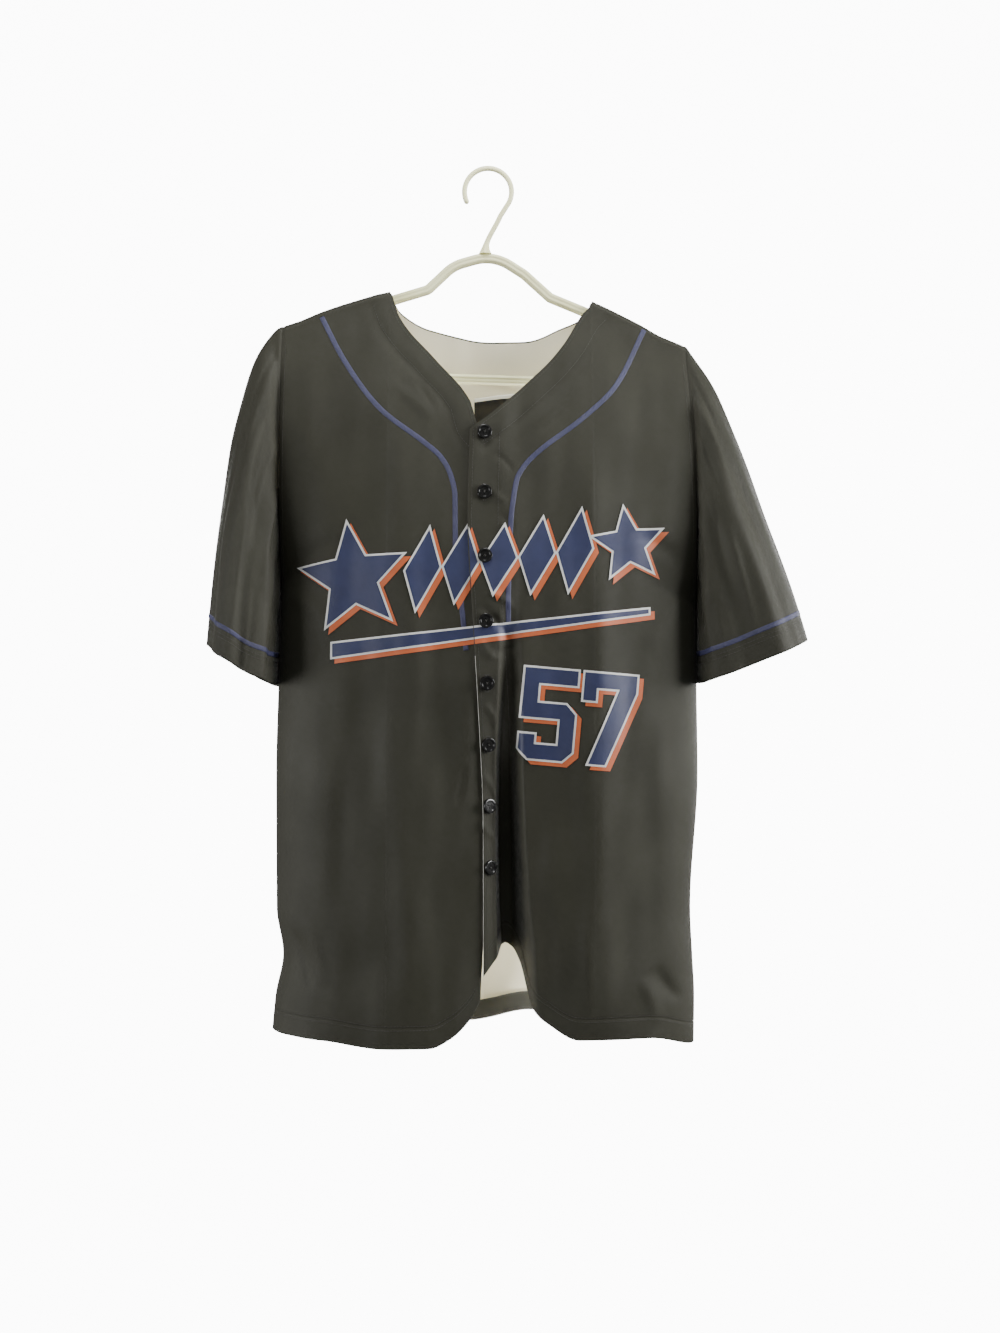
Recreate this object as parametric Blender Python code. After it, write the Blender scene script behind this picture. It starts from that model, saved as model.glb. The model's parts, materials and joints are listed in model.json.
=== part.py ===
# Baseball jersey hanging on a moulded clothes hanger, in metres.
# The origin is the inner top of the hook. +Z is up, the front faces -Y and +X is the viewer's right.
# Heights are given as a drop: the distance below the origin.
import math

import bmesh
import bpy
import numpy as np
from mathutils import Matrix, Vector
from mathutils.bvhtree import BVHTree


def table(columns, *rows):
    return dict(zip(columns.split(), np.array(rows, float).T))


# Cloth
CLOTH = 0.0012             # wall of every cloth piece
SEAM_GAP = 0.0003          # pieces stay this far apart where they are sewn
SIDE_ROUND, SEAM_HOLD = 3, 8   # powers: how blunt the body is at its sides, how far from them folds start
SHOULDER_ROLL = 0.0078     # outer radius of the cloth where it goes over the hanger's arm
ARMHOLE_DROP = 0.255       # shoulder seam to underarm
PLACKET_LIFT = 0.0023      # the buttoned front edge lies this far outside the edge under it
LIFT_FROM, LIFT_OVER = 0.012, 0.026    # where that step starts to fade out, and over what width

# Hanger
TUBE = 0.005               # radius of the hanger's arms and bar
NECK_LEFT, NECK_RIGHT = -0.098, 0.104  # where the neck meets the shoulders
NECK_TURN, NECK_FALL = 0.003, 0.007    # there the neckline first falls this steeply off the shoulder line
ARMS = table(
    "foot_x foot_drop slope end_radius",
    (-0.060, 0.119, -0.300, 0.0224),
    (0.062, 0.127, 0.412, 0.0200))
BAR_DROP, BAR_SLOPE = 0.209, 0.0314
ARCH = table(
    "x drop radius",
    (-0.0345, 0.0950, 0.038),
    (0.005, 0.0838, 0.044),
    (0.036, 0.1035, 0.024))
FOOT_RADIUS = 0.010
HOOK_RADIUS, HOOK_WIRE = 0.0235, 0.0026
HOOK_TURN, HOOK_STEPS = (-28, 205), 20    # degrees of the circle that the hook covers, points along it
HOOK_STEM = table(         # from the flared base on the arch up to the circle
    "aside rise wire_scale",
    (0.0000, 0.0000, 2.20),
    (0.0000, 0.0035, 1.75),
    (0.0010, 0.0085, 1.15),
    (0.0045, 0.0170, 1.00),
    (0.0100, 0.0270, 1.00),
    (0.0150, 0.0370, 1.00))

# How far the cloth over each arm stands clear of it: it rests on the arm near the shoulder's end
SLACK = table(
    "x rise",
    (-0.213, 0.0), (-0.190, 0.0005), (-0.165, 0.0032), (-0.140, 0.0041), (-0.113, 0.0041),
    (-0.098, 0.0030),
    (0.104, 0.0068), (0.150, 0.0035), (0.175, 0.0), (0.210, 0.0))

# Outline of the body at its side seams
SIDES = table(
    "drop left right",
    (0.160, -0.2050, 0.1960),
    (0.300, -0.2055, 0.2040),
    (0.419, -0.2062, 0.2075),
    (0.520, -0.2095, 0.2085),
    (0.600, -0.2115, 0.2095),
    (0.735, -0.2110, 0.2020),
    (0.781, -0.2045, 0.2040),
    (0.822, -0.2120, 0.2060),
    (0.870, -0.2165, 0.2055))

# How far the cloth has fallen open below the shoulder line, past the roll over the arm
FALL = table(
    "below front back",
    (0.00, 0.000, 0.000),
    (0.02, 0.004, 0.004),
    (0.06, 0.014, 0.012),
    (0.12, 0.030, 0.026),
    (0.20, 0.045, 0.042),
    (0.30, 0.056, 0.056),
    (0.45, 0.063, 0.065),
    (0.75, 0.066, 0.070))

# Neckline and hem of each panel, by x
NECK_RIGHT_FRONT = table(
    "x drop",
    (-0.0873, 0.1495), (-0.0521, 0.1923), (-0.0174, 0.2347), (-0.0095, 0.2600), (0.0081, 0.2750))
NECK_LEFT_FRONT = table(
    "x drop",
    (-0.0189, 0.2650), (0.0022, 0.2490), (0.0218, 0.2325), (0.0400, 0.2155), (0.0600, 0.1955),
    (0.0762, 0.1750), (0.0940, 0.1450))
NECK_BACK = table(
    "x drop",
    (-0.088, 0.1395), (-0.058, 0.1565), (0.007, 0.1685), (0.037, 0.168), (0.073, 0.1555), (0.095, 0.1455))
HEM_RIGHT_FRONT = table(
    "x drop",
    (-0.2165, 0.8550), (-0.1610, 0.8560), (-0.1050, 0.8617), (-0.0548, 0.8606), (-0.0357, 0.8520),
    (-0.0176, 0.8352), (-0.0071, 0.8166))
HEM_LEFT_FRONT = table(
    "x drop",
    (-0.0040, 0.7930), (0.0082, 0.7776), (0.0168, 0.7671), (0.0235, 0.7709), (0.0320, 0.7852),
    (0.0368, 0.8024), (0.0416, 0.8224), (0.0588, 0.8387), (0.0875, 0.8530), (0.1570, 0.8545),
    (0.2055, 0.8685))
HEM_BACK = table(
    "x drop",
    (-0.2165, 0.8550), (-0.1200, 0.8655), (-0.0200, 0.8660), (0.0430, 0.8540), (0.1200, 0.8580),
    (0.2055, 0.8685))

# Front edges: the buttoned one on top, and the one that lies under it
FRONT_EDGES = table(
    "drop over under",
    (0.263, -0.0172, 0.0075),
    (0.354, -0.0189, 0.0075),
    (0.451, -0.0139, 0.0075),
    (0.528, -0.0091, 0.0072),
    (0.652, -0.0040, 0.0060),
    (0.747, -0.0038, -0.0033),
    (0.820, -0.0038, -0.0071))

# The one deep fold, beside the buttons: its lips and floor by drop
VALLEY = table(
    "drop lip floor_left floor_right end depth",
    (0.430, 0.0110, 0.0190, 0.0205, 0.0360, 0.000),
    (0.520, 0.0105, 0.0175, 0.0195, 0.0330, 0.012),
    (0.585, 0.0085, 0.0145, 0.0165, 0.0310, 0.026),
    (0.652, 0.0085, 0.0145, 0.0165, 0.0320, 0.036),
    (0.718, 0.0095, 0.0160, 0.0180, 0.0370, 0.040),
    (0.766, 0.0105, 0.0175, 0.0200, 0.0430, 0.040),
    (0.870, 0.0110, 0.0180, 0.0210, 0.0520, 0.034))
VALLEY_ROLL = 0.16         # share of its depth already reached across the button strip

# Soft folds: in is towards the inside of the garment
FOLD_COLUMNS = "x_top x_hem from_drop to_drop half_width depth"
FRONT_FOLDS = table(
    FOLD_COLUMNS,
    (-0.158, -0.172, 0.280, 0.900, 0.020, -0.0040),
    (-0.118, -0.130, 0.220, 0.900, 0.018, 0.0050),
    (-0.078, -0.080, 0.240, 0.900, 0.016, -0.0050),
    (-0.046, -0.042, 0.330, 0.880, 0.014, 0.0040),
    (0.076, 0.070, 0.330, 0.900, 0.016, 0.0045),
    (0.108, 0.112, 0.240, 0.900, 0.020, -0.0050),
    (0.150, 0.150, 0.330, 0.900, 0.017, 0.0050),
    (0.176, 0.178, 0.380, 0.900, 0.013, -0.0030))
BACK_FOLDS = table(
    FOLD_COLUMNS,
    (-0.150, -0.160, 0.260, 0.900, 0.018, 0.0055),
    (-0.105, -0.120, 0.300, 0.900, 0.020, -0.0055),
    (-0.062, -0.070, 0.260, 0.900, 0.018, 0.0065),
    (-0.015, -0.020, 0.320, 0.900, 0.022, -0.0060),
    (0.040, 0.045, 0.250, 0.900, 0.018, 0.0065),
    (0.090, 0.098, 0.310, 0.900, 0.020, -0.0055),
    (0.142, 0.150, 0.270, 0.900, 0.018, 0.0055))
FOLD_FADE = 0.12           # a fold comes in over this height

# Sleeves: the cuff's outer and inner ends seen from the front, half its depth, how the upper line arches
SLEEVES = {
    "right": dict(side="left", outer=(-0.276, 0.472), inner=(-0.2135, 0.513), half_depth=0.076,
                  arch=(-0.0150, -0.139), back_drop=0.006),
    "left": dict(side="right", outer=(0.316, 0.469), inner=(0.2115, 0.512), half_depth=0.062,
                 arch=(-0.0185, -0.1055), back_drop=0.002)}
SLEEVE_SWELL = 0.012       # how far the sleeve's middle stands forward and back of a straight line
SLEEVE_ROWS = (0.0, 0.07, 0.2, 0.4, 0.6, 0.8, 1.0)     # armhole to stripe
STRIPE_ABOVE_CUFF, STRIPE_WIDTH = 0.0265, 0.005
SLEEVE_FOLDS = table(      # at: 0 is the upper line, 1 the underarm, minus is the back
    "at start end half_width depth",
    (0.36, 0.15, 1.4, 0.07, -0.0045),
    (0.56, 0.10, 1.4, 0.07, 0.0045),
    (0.76, 0.20, 1.2, 0.06, -0.0035),
    (-0.30, 0.15, 1.4, 0.08, -0.0045),
    (-0.52, 0.10, 1.4, 0.08, 0.0050),
    (-0.74, 0.20, 1.2, 0.06, -0.0035))
SLEEVE_FADE_IN, SLEEVE_FADE_OUT = 0.4, 0.3

# Trim
BRAID_WIDTH, BRAID_THICK, BRAID_GAP = 0.005, 0.0007, 0.0008
BRAID_STATIONS, BRAID_BUNCH = 44, 1.4
RIGHT_BRAID = table(
    "x drop",
    (-0.1655, 0.1478), (-0.1425, 0.1920), (-0.1065, 0.2420), (-0.0610, 0.2780), (-0.0463, 0.2910),
    (-0.0365, 0.3080), (-0.0316, 0.3300), (-0.0308, 0.3930), (-0.0250, 0.4365), (-0.0204, 0.4800))
LEFT_BRAID = table(
    "x drop",
    (0.1555, 0.1606), (0.1255, 0.2200), (0.0941, 0.2517), (0.0489, 0.2870), (0.0363, 0.3000),
    (0.0285, 0.3140), (0.0251, 0.3326), (0.0226, 0.3540), (0.0200, 0.4374), (0.0200, 0.4560))
BUTTON_RADIUS, BUTTON_HEIGHT, BUTTON_GAP = 0.0070, 0.0028, 0.0005
BUTTON_SIDES = 12
BUTTONS = table(
    "x drop",
    (-0.0031, 0.2672), (-0.0030, 0.3267), (-0.0024, 0.3891), (-0.0014, 0.4518),
    (-0.0005, 0.5113), (0.0005, 0.5705), (0.0010, 0.6297), (0.0020, 0.6889))
LABEL_LEFT, LABEL_RIGHT, LABEL_TOP, LABEL_BOTTOM = -0.014, 0.028, 0.221, 0.252
LABEL_THICK, LABEL_GAP = 0.0006, 0.0006

# Mesh density
ROLL_STEPS = 4             # rows over the hanger's arm
ARMHOLE_SHARES = (0.08, 0.19, 0.34, 0.51, 0.68, 0.85, 1.0)
LOWER_ROWS = 11            # rows from the underarm to the hem
SHOULDER_COLUMNS = 9       # columns from the neck to a side seam
LABEL_COLUMNS, LABEL_ROWS = 5, 4
TUBE_RESOLUTION = 2
TURN_STEPS = 28            # points in a full turn of the hanger's bends
FIRST_TOP, FIRST_HEM, PASSES = 0.2, 0.85, 12   # start of the search for where the columns meet the edges
NORMAL_REACH = 0.004       # distance between the points that give a surface's direction
SHARP_ANGLE = 50           # degrees; edges sharper than this are not shaded smooth

DARK = (0.048, 0.046, 0.036)
BLUE = (0.050, 0.070, 0.240)
CREAM = (0.760, 0.760, 0.600)
BLACK = (0.012, 0.012, 0.012)


def smooth(xs, ys, at):
    """A cubic through the points of a table that never overshoots them."""
    at = np.clip(at, xs[0], xs[-1])
    step = np.diff(xs)
    slope = np.diff(ys) / step
    tangent = np.zeros(len(xs))
    tangent[0], tangent[-1] = slope[0], slope[-1]
    same_way = slope[:-1] * slope[1:] > 0
    before, after = slope[:-1][same_way], slope[1:][same_way]
    tangent[1:-1][same_way] = 2 * before * after / (before + after)
    i = np.clip(np.searchsorted(xs, at, side="right") - 1, 0, len(step) - 1)
    t = (at - xs[i]) / step[i]
    start = ys[i] * (1 + 2 * t) * (1 - t) ** 2 + step[i] * tangent[i] * t * (1 - t) ** 2
    return start + ys[i + 1] * t * t * (3 - 2 * t) + step[i] * tangent[i + 1] * t * t * (t - 1)


def ease(value):
    value = np.clip(value, 0, 1)
    return value * value * (3 - 2 * value)


def look_up(rows, column, drop):
    return smooth(rows["drop"], rows[column], drop)


def arm_line(x):
    """Drop of the hanger arm's centre line."""
    arm = (np.asarray(x) > 0).astype(int)
    return ARMS["foot_drop"][arm] + ARMS["slope"][arm] * (x - ARMS["foot_x"][arm])


def shoulder_line(x):
    """Drop of the cloth's top edge along the shoulders, straight across the neck."""
    arm = (np.asarray(x) > 0).astype(int)
    lean = np.sqrt(1 + ARMS["slope"][arm] ** 2)
    return arm_line(x) - (TUBE + SEAM_GAP + CLOTH) * lean - smooth(SLACK["x"], SLACK["rise"], x)


def ridge(x):
    ends = np.array([NECK_LEFT, NECK_RIGHT])
    across = np.interp(x, ends, shoulder_line(ends))
    return np.where((x > NECK_LEFT) & (x < NECK_RIGHT), across, shoulder_line(x))


def half_depth(below, face):
    """How far the cloth is from the hanger's plane, this far below the shoulder line."""
    over = np.clip(below / SHOULDER_ROLL, 0, 1)
    fallen = smooth(FALL["below"], FALL[face], below - SHOULDER_ROLL)
    return SHOULDER_ROLL * np.sqrt(over * (2 - over)) + fallen


def armhole_share(below):
    """The armhole's half width as a share of the body's half depth: all of it above, none at the underarm."""
    return np.clip(1 - (below / ARMHOLE_DROP) ** 2, 0, 1)


def side_top(side):
    """Drop of the shoulder seam's outer end."""
    return float(ridge(look_up(SIDES, side, SIDES["drop"][0])))


def folds(rows, x, drop):
    total = np.zeros(np.broadcast(x, drop).shape)
    for x_top, x_hem, top, bottom, width, depth in zip(*rows.values()):
        along = np.clip((drop - top) / (bottom - top), 0, 1)
        centre = x_top + (x_hem - x_top) * along
        here = ease((drop - top) / FOLD_FADE) * ease((bottom - drop) / FOLD_FADE)
        total += depth * here * np.exp(-((x - centre) / width) ** 2)
    return total


def valley(x, drop):
    edge = look_up(FRONT_EDGES, "over", drop)
    lip, floor_left, floor_right, end = (look_up(VALLEY, name, drop)
                                         for name in ("lip", "floor_left", "floor_right", "end"))
    roll = VALLEY_ROLL * ease((x - edge) / (lip - edge))
    wall = (1 - VALLEY_ROLL) * ease((x - lip) / (floor_left - lip))
    rise = 1 - ease((x - floor_right) / (end - floor_right))
    return look_up(VALLEY, "depth", drop) * (roll + wall) * rise


def body_surface(x, drop, face):
    """Points of the body's outer face. Folds leave the seams where they are."""
    left, right = look_up(SIDES, "left", drop), look_up(SIDES, "right", drop)
    across = np.clip((2 * x - left - right) / (right - left), -1, 1)
    below = np.maximum(drop - ridge(x), 0)
    at_side = armhole_share(below)
    out = half_depth(below, face) * (at_side + (1 - at_side) * np.sqrt(1 - np.abs(across) ** SIDE_ROUND))
    away = 1 - np.abs(across) ** SEAM_HOLD
    if face == "back":
        return np.stack(np.broadcast_arrays(x, out - folds(BACK_FOLDS, x, drop) * away, -drop), axis=-1)
    inward = (folds(FRONT_FOLDS, x, drop) + valley(x, drop)) * away
    return np.stack(np.broadcast_arrays(x, inward - out, -drop), axis=-1)


def left_front_surface(x, drop):
    points = body_surface(x, drop, "front")
    points[..., 1] -= PLACKET_LIFT * (1 - ease((x - LIFT_FROM) / LIFT_OVER))
    return points


def right_front_surface(x, drop):
    return body_surface(x, drop, "front")


def back_surface(x, drop):
    return body_surface(x, drop, "back")


def armhole_steps():
    """Distances below the shoulder seam of the rows down to the underarm."""
    roll = SHOULDER_ROLL * (1 - np.cos(np.linspace(0, math.pi / 2, ROLL_STEPS + 1)))
    return np.concatenate([roll, ARMHOLE_DROP * np.array(ARMHOLE_SHARES)])


def spread(count, bunched=""):
    """Shares from 0 to 1, closer together at the end that rounds into a side seam."""
    even = np.linspace(0, 1, count + 1)
    if bunched == "end":
        return np.sin(even * math.pi / 2)
    if bunched == "start":
        return 1 - np.cos(even * math.pi / 2)
    return even


def column_places(spans, drop):
    """x of every column at its drop; spans run between edges that may move with the drop."""
    places = []
    for start, end, count, bunched in spans:
        shares = spread(count, bunched)
        if places:
            shares = shares[1:]
        for share in shares:
            here = drop[..., len(places)]
            places.append(start(here) * (1 - share) + end(here) * share)
    return np.stack(places, axis=-1)


def panel_grid(spans, top, hem, side):
    """x and drop of a panel's points: rows from its top edge to its hem, columns across it."""
    count = sum(span[2] for span in spans) + 1
    top_drop, hem_drop = np.full(count, FIRST_TOP), np.full(count, FIRST_HEM)
    for _ in range(PASSES):
        top_drop = top(column_places(spans, top_drop))
        hem_drop = hem(column_places(spans, hem_drop))
    seam = 0 if side == "left" else -1
    length = hem_drop[seam] - top_drop[seam]
    lower = np.linspace(ARMHOLE_DROP, length, LOWER_ROWS + 1)[1:]
    shares = np.concatenate([armhole_steps(), lower]) / length
    drop = top_drop + shares[:, None] * (hem_drop - top_drop)
    return column_places(spans, drop), drop


def top_edge(neck):
    """Top of a panel by x: the shoulder line, and between its ends the neckline."""
    start, end = ridge(np.array([NECK_LEFT, NECK_RIGHT]))
    xs, drops = neck["x"], neck["drop"]
    if xs[0] < NECK_LEFT / 2:
        xs = np.concatenate([[NECK_LEFT, NECK_LEFT + NECK_TURN], xs])
        drops = np.concatenate([[start, start + NECK_FALL], drops])
    if xs[-1] > NECK_RIGHT / 2:
        xs = np.concatenate([xs, [NECK_RIGHT - NECK_TURN, NECK_RIGHT]])
        drops = np.concatenate([drops, [end + NECK_FALL, end]])
    return lambda x: np.where((x > NECK_LEFT) & (x < NECK_RIGHT), smooth(xs, drops, x), ridge(x))


def hem_edge(rows):
    return lambda x: smooth(rows["x"], rows["drop"], x)


def side(name):
    return lambda drop: look_up(SIDES, name, drop)


def at_valley(name):
    return lambda drop: look_up(VALLEY, name, drop)


def front_edge(name):
    return lambda drop: look_up(FRONT_EDGES, name, drop)


def level(x):
    return lambda drop: np.full_like(drop, x)


def normals(points, outward, ring=False):
    """Unit normals of a grid of points. In a ring the columns close on themselves."""
    down = np.gradient(points, axis=0)
    if ring:
        over = np.roll(points, -1, axis=1) - np.roll(points, 1, axis=1)
    else:
        over = np.gradient(points, axis=1)
    result = np.cross(down, over)
    result /= np.linalg.norm(result, axis=-1, keepdims=True)
    return result * np.sign(np.sum(result * outward))


def material(name, colour, roughness):
    made = bpy.data.materials.new(name)
    made.use_nodes = True
    shader = made.node_tree.nodes["Principled BSDF"]
    shader.inputs["Base Color"].default_value = (*colour, 1.0)
    shader.inputs["Roughness"].default_value = roughness
    shader.inputs["Metallic"].default_value = 0.0
    return made


def add_object(name, mesh, finish):
    mesh.materials.append(finish)
    mesh.shade_smooth()
    mesh.set_sharp_from_angle(angle=math.radians(SHARP_ANGLE))
    made = bpy.data.objects.new(name, mesh)
    bpy.context.scene.collection.objects.link(made)
    return made


def wall(name, outer, inner, finish, ring=False):
    """A closed wall between two grids of points of the same shape."""
    rows, columns = outer.shape[:2]
    size = rows * columns
    last = columns if ring else columns - 1

    def at(layer, row, column):
        return layer * size + row * columns + column % columns

    faces = []
    for row in range(rows - 1):
        for column in range(last):
            corners = ((row, column), (row, column + 1), (row + 1, column + 1), (row + 1, column))
            faces.append([at(0, *corner) for corner in corners])
            faces.append([at(1, *corner) for corner in reversed(corners)])
    for row in (0, rows - 1):
        for column in range(last):
            pairs = (row, column), (row, column + 1)
            faces.append([at(0, *pairs[0]), at(1, *pairs[0]), at(1, *pairs[1]), at(0, *pairs[1])])
    if not ring:
        for column in (0, columns - 1):
            for row in range(rows - 1):
                pairs = (row, column), (row + 1, column)
                faces.append([at(0, *pairs[0]), at(0, *pairs[1]), at(1, *pairs[1]), at(1, *pairs[0])])
    mesh = bpy.data.meshes.new(name)
    mesh.from_pydata(np.concatenate([outer.reshape(-1, 3), inner.reshape(-1, 3)]).tolist(), [], faces)
    shape = bmesh.new()
    shape.from_mesh(mesh)
    bmesh.ops.recalc_face_normals(shape, faces=shape.faces)
    shape.to_mesh(mesh)
    shape.free()
    return add_object(name, mesh, finish)


def body_panel(name, surface, spans, neck, hem, seam_side, front, finish):
    """One panel of the body, kept clear of the planes where it is sewn to its neighbours."""
    x, drop = panel_grid(spans, top_edge(neck), hem_edge(hem), seam_side)
    outer = surface(x, drop)
    facing = -1 if front else 1
    inner = outer - CLOTH * normals(outer, np.array([0, facing, 0]))
    for points in (outer, inner):
        points[..., 1] = facing * np.maximum(facing * points[..., 1], SEAM_GAP / 2)
    return wall(name, outer, inner, finish)


def sleeve_grid(cut):
    """Outer points of a sleeve: rows from armhole to cuff, columns round it from the upper line."""
    sign = -1 if cut["side"] == "left" else 1
    steps = armhole_steps()
    drop = side_top(cut["side"]) + steps
    seam_x = look_up(SIDES, cut["side"], drop) + sign * SEAM_GAP
    wide = armhole_share(steps)
    front = np.stack([seam_x, -half_depth(steps, "front") * wide, -drop], axis=-1)
    back = np.stack([seam_x, half_depth(steps, "back") * wide, -drop], axis=-1)
    reach = np.concatenate([[0], np.cumsum(np.linalg.norm(np.diff(front, axis=0), axis=1))])
    round_front = reach / reach[-1]
    armhole_ring = np.concatenate([front, back[-2:0:-1]])
    around = np.concatenate([round_front, -round_front[-2:0:-1]])

    (outer_x, outer_drop), (inner_x, inner_drop) = cut["outer"], cut["inner"]
    top_share = (1 + np.cos(math.pi * around)) / 2
    depth = -np.sin(math.pi * around)
    cuff_drop = inner_drop + (outer_drop - inner_drop) * top_share + cut["back_drop"] * np.maximum(depth, 0)
    cuff_x = inner_x + (outer_x - inner_x) * top_share
    cuff = np.stack([cuff_x, depth * cut["half_depth"], -cuff_drop], axis=-1)
    pull = (armhole_ring + cuff) / 2
    pull[:, 0] += cut["arch"][0] * top_share
    pull[:, 1] += SLEEVE_SWELL * depth
    pull[:, 2] -= cut["arch"][1] * top_share

    speed = 2 * np.linalg.norm(cuff - pull, axis=1)
    stripe_low = 1 - STRIPE_ABOVE_CUFF / speed
    stripe_high = stripe_low - STRIPE_WIDTH / speed
    along = [stripe_high * share for share in SLEEVE_ROWS] + [stripe_low, np.ones_like(speed)]
    along = np.stack(along)[..., None]
    points = (1 - along) ** 2 * armhole_ring + 2 * along * (1 - along) * pull + along ** 2 * cuff
    middle = points.mean(axis=1, keepdims=True)
    move = np.zeros(points.shape[:2])
    for at, start, end, width, fold in zip(*SLEEVE_FOLDS.values()):
        here = ease((along[..., 0] - start) / SLEEVE_FADE_IN) * ease((end - along[..., 0]) / SLEEVE_FADE_OUT)
        move -= fold * here * np.exp(-((around - at) / width) ** 2)
    points += normals(points, points - middle, ring=True) * move[..., None]
    return points, sign, middle


def clear_of_body(points, cut, sign):
    """Holds a sleeve's points on their own side of the body's side seam."""
    limit = look_up(SIDES, cut["side"], -points[..., 2]) + sign * SEAM_GAP
    points[..., 0] = sign * np.maximum(sign * points[..., 0], sign * limit)
    return points


def sleeve(name, cut, cloth, braid):
    points, sign, middle = sleeve_grid(cut)
    outer = clear_of_body(points, cut, sign)
    out = normals(outer, outer - middle, ring=True)
    inner = clear_of_body(outer - CLOTH * out, cut, sign)
    wall(f"{name}_sleeve", outer, inner, cloth, ring=True)
    stripe = slice(len(SLEEVE_ROWS) - 1, len(SLEEVE_ROWS) + 1)
    under = outer[stripe] + out[stripe] * BRAID_GAP
    wall(f"{name}_sleeve_braid", under + out[stripe] * BRAID_THICK, under, braid, ring=True)


def surface_normal(surface, x, drop):
    over = surface(x + NORMAL_REACH, drop) - surface(x - NORMAL_REACH, drop)
    down = surface(x, drop + NORMAL_REACH) - surface(x, drop - NORMAL_REACH)
    result = np.cross(over, down)
    result /= np.linalg.norm(result, axis=-1, keepdims=True)
    return result * -np.sign(result[..., 1:2])


def laid_on(panel, x, drop):
    """Points of a front panel's own faces, seen from the front."""
    corners = [corner.co for corner in panel.data.vertices]
    faces = BVHTree.FromPolygons(corners, [face.vertices for face in panel.data.polygons])
    starts = [Vector((across, -1, -down)) for across, down in zip(x, drop)]
    return np.array([faces.ray_cast(start, Vector((0, 1, 0)))[0] for start in starts])


def front_braid(name, panel, surface, path, finish):
    """A flat braid sewn along a path on a front, with its stations closer together at the shoulder."""
    chord = np.concatenate([[0], np.cumsum(np.hypot(np.diff(path["x"]), np.diff(path["drop"])))])
    at = np.linspace(0, 1, BRAID_STATIONS + 1) ** BRAID_BUNCH * chord[-1]
    x, drop = smooth(chord, path["x"], at), smooth(chord, path["drop"], at)
    along = np.stack([np.gradient(x, at), np.gradient(drop, at)])
    along /= np.linalg.norm(along, axis=0)
    edges = [(x - half * along[1], drop + half * along[0]) for half in (-BRAID_WIDTH / 2, BRAID_WIDTH / 2)]
    points = np.stack([laid_on(panel, *edge) for edge in edges], axis=1)
    out = np.stack([surface_normal(surface, *edge) for edge in edges], axis=1)
    under = points + out * BRAID_GAP
    wall(name, under + out * BRAID_THICK, under, finish)


def button_mesh():
    """A turned button with a raised rim; its back is at the origin and it faces +Z."""
    profile = (
        (0.0, 0.0), (0.90, 0.0), (1.0, 0.22), (1.0, 0.78),
        (0.90, 1.0), (0.72, 1.0), (0.62, 0.72), (0.0, 0.72))
    shape = bmesh.new()
    corners = [shape.verts.new((r * BUTTON_RADIUS, 0, h * BUTTON_HEIGHT)) for r, h in profile]
    edges = [shape.edges.new(pair) for pair in zip(corners, corners[1:])]
    bmesh.ops.spin(shape, geom=corners + edges, cent=(0, 0, 0), axis=(0, 0, 1), angle=2 * math.pi,
                   steps=BUTTON_SIDES, use_duplicate=False)
    bmesh.ops.remove_doubles(shape, verts=shape.verts, dist=0.00001)
    bmesh.ops.recalc_face_normals(shape, faces=shape.faces)
    mesh = bpy.data.meshes.new("button")
    shape.to_mesh(mesh)
    shape.free()
    return mesh


def buttons(finish):
    for number, (x, drop) in enumerate(zip(*BUTTONS.values()), start=1):
        place = Vector(left_front_surface(x, np.float64(drop)))
        out = Vector(surface_normal(left_front_surface, x, np.float64(drop)))
        made = add_object(f"button_{number}", button_mesh(), finish)
        turn = out.to_track_quat("Z", "Y").to_matrix().to_4x4()
        made.matrix_world = Matrix.Translation(place + out * BUTTON_GAP) @ turn


def neck_label(finish):
    """The label inside the back, below the neckline."""
    across = np.linspace(LABEL_LEFT, LABEL_RIGHT, LABEL_COLUMNS)
    x, drop = np.meshgrid(across, np.linspace(LABEL_TOP, LABEL_BOTTOM, LABEL_ROWS))
    inward = surface_normal(back_surface, x, drop)
    back_of_label = back_surface(x, drop) + inward * (CLOTH + LABEL_GAP)
    wall("neck_label", back_of_label, back_of_label + inward * LABEL_THICK, finish)


def rounded(corners, radii):
    """A closed path through corners in the hanger's plane, each rounded to its radius."""
    path = []
    count = len(corners)
    for i, (corner, radius) in enumerate(zip(corners, radii)):
        to_before = (corners[i - 1] - corner).normalized()
        to_after = (corners[(i + 1) % count] - corner).normalized()
        half = to_before.angle(to_after) / 2
        centre = corner + (to_before + to_after).normalized() * radius / math.sin(half)
        start = corner + to_before * radius / math.tan(half) - centre
        end = corner + to_after * radius / math.tan(half) - centre
        turn = math.pi - 2 * half
        steps = max(2, round(TURN_STEPS * turn / (2 * math.pi)))
        for step in range(steps + 1):
            share = step / steps
            blend = (start * math.sin((1 - share) * turn) + end * math.sin(share * turn)) / math.sin(turn)
            path.append(centre + blend)
    return path


def tube(name, path, radii, closed, finish):
    """A round tube along a path of (x, drop) points in the hanger's plane, with its radius at each."""
    curve = bpy.data.curves.new(name, "CURVE")
    curve.dimensions = "3D"
    curve.bevel_depth = 1.0
    curve.bevel_resolution = TUBE_RESOLUTION
    curve.use_fill_caps = True
    spline = curve.splines.new("POLY")
    spline.points.add(len(path) - 1)
    spline.use_cyclic_u = closed
    for point, place, radius in zip(spline.points, path, radii):
        point.co = (place[0], 0, -place[1], 1)
        point.radius = radius
    curve.materials.append(finish)
    made = bpy.data.objects.new(name, curve)
    bpy.context.scene.collection.objects.link(made)
    return made


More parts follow.
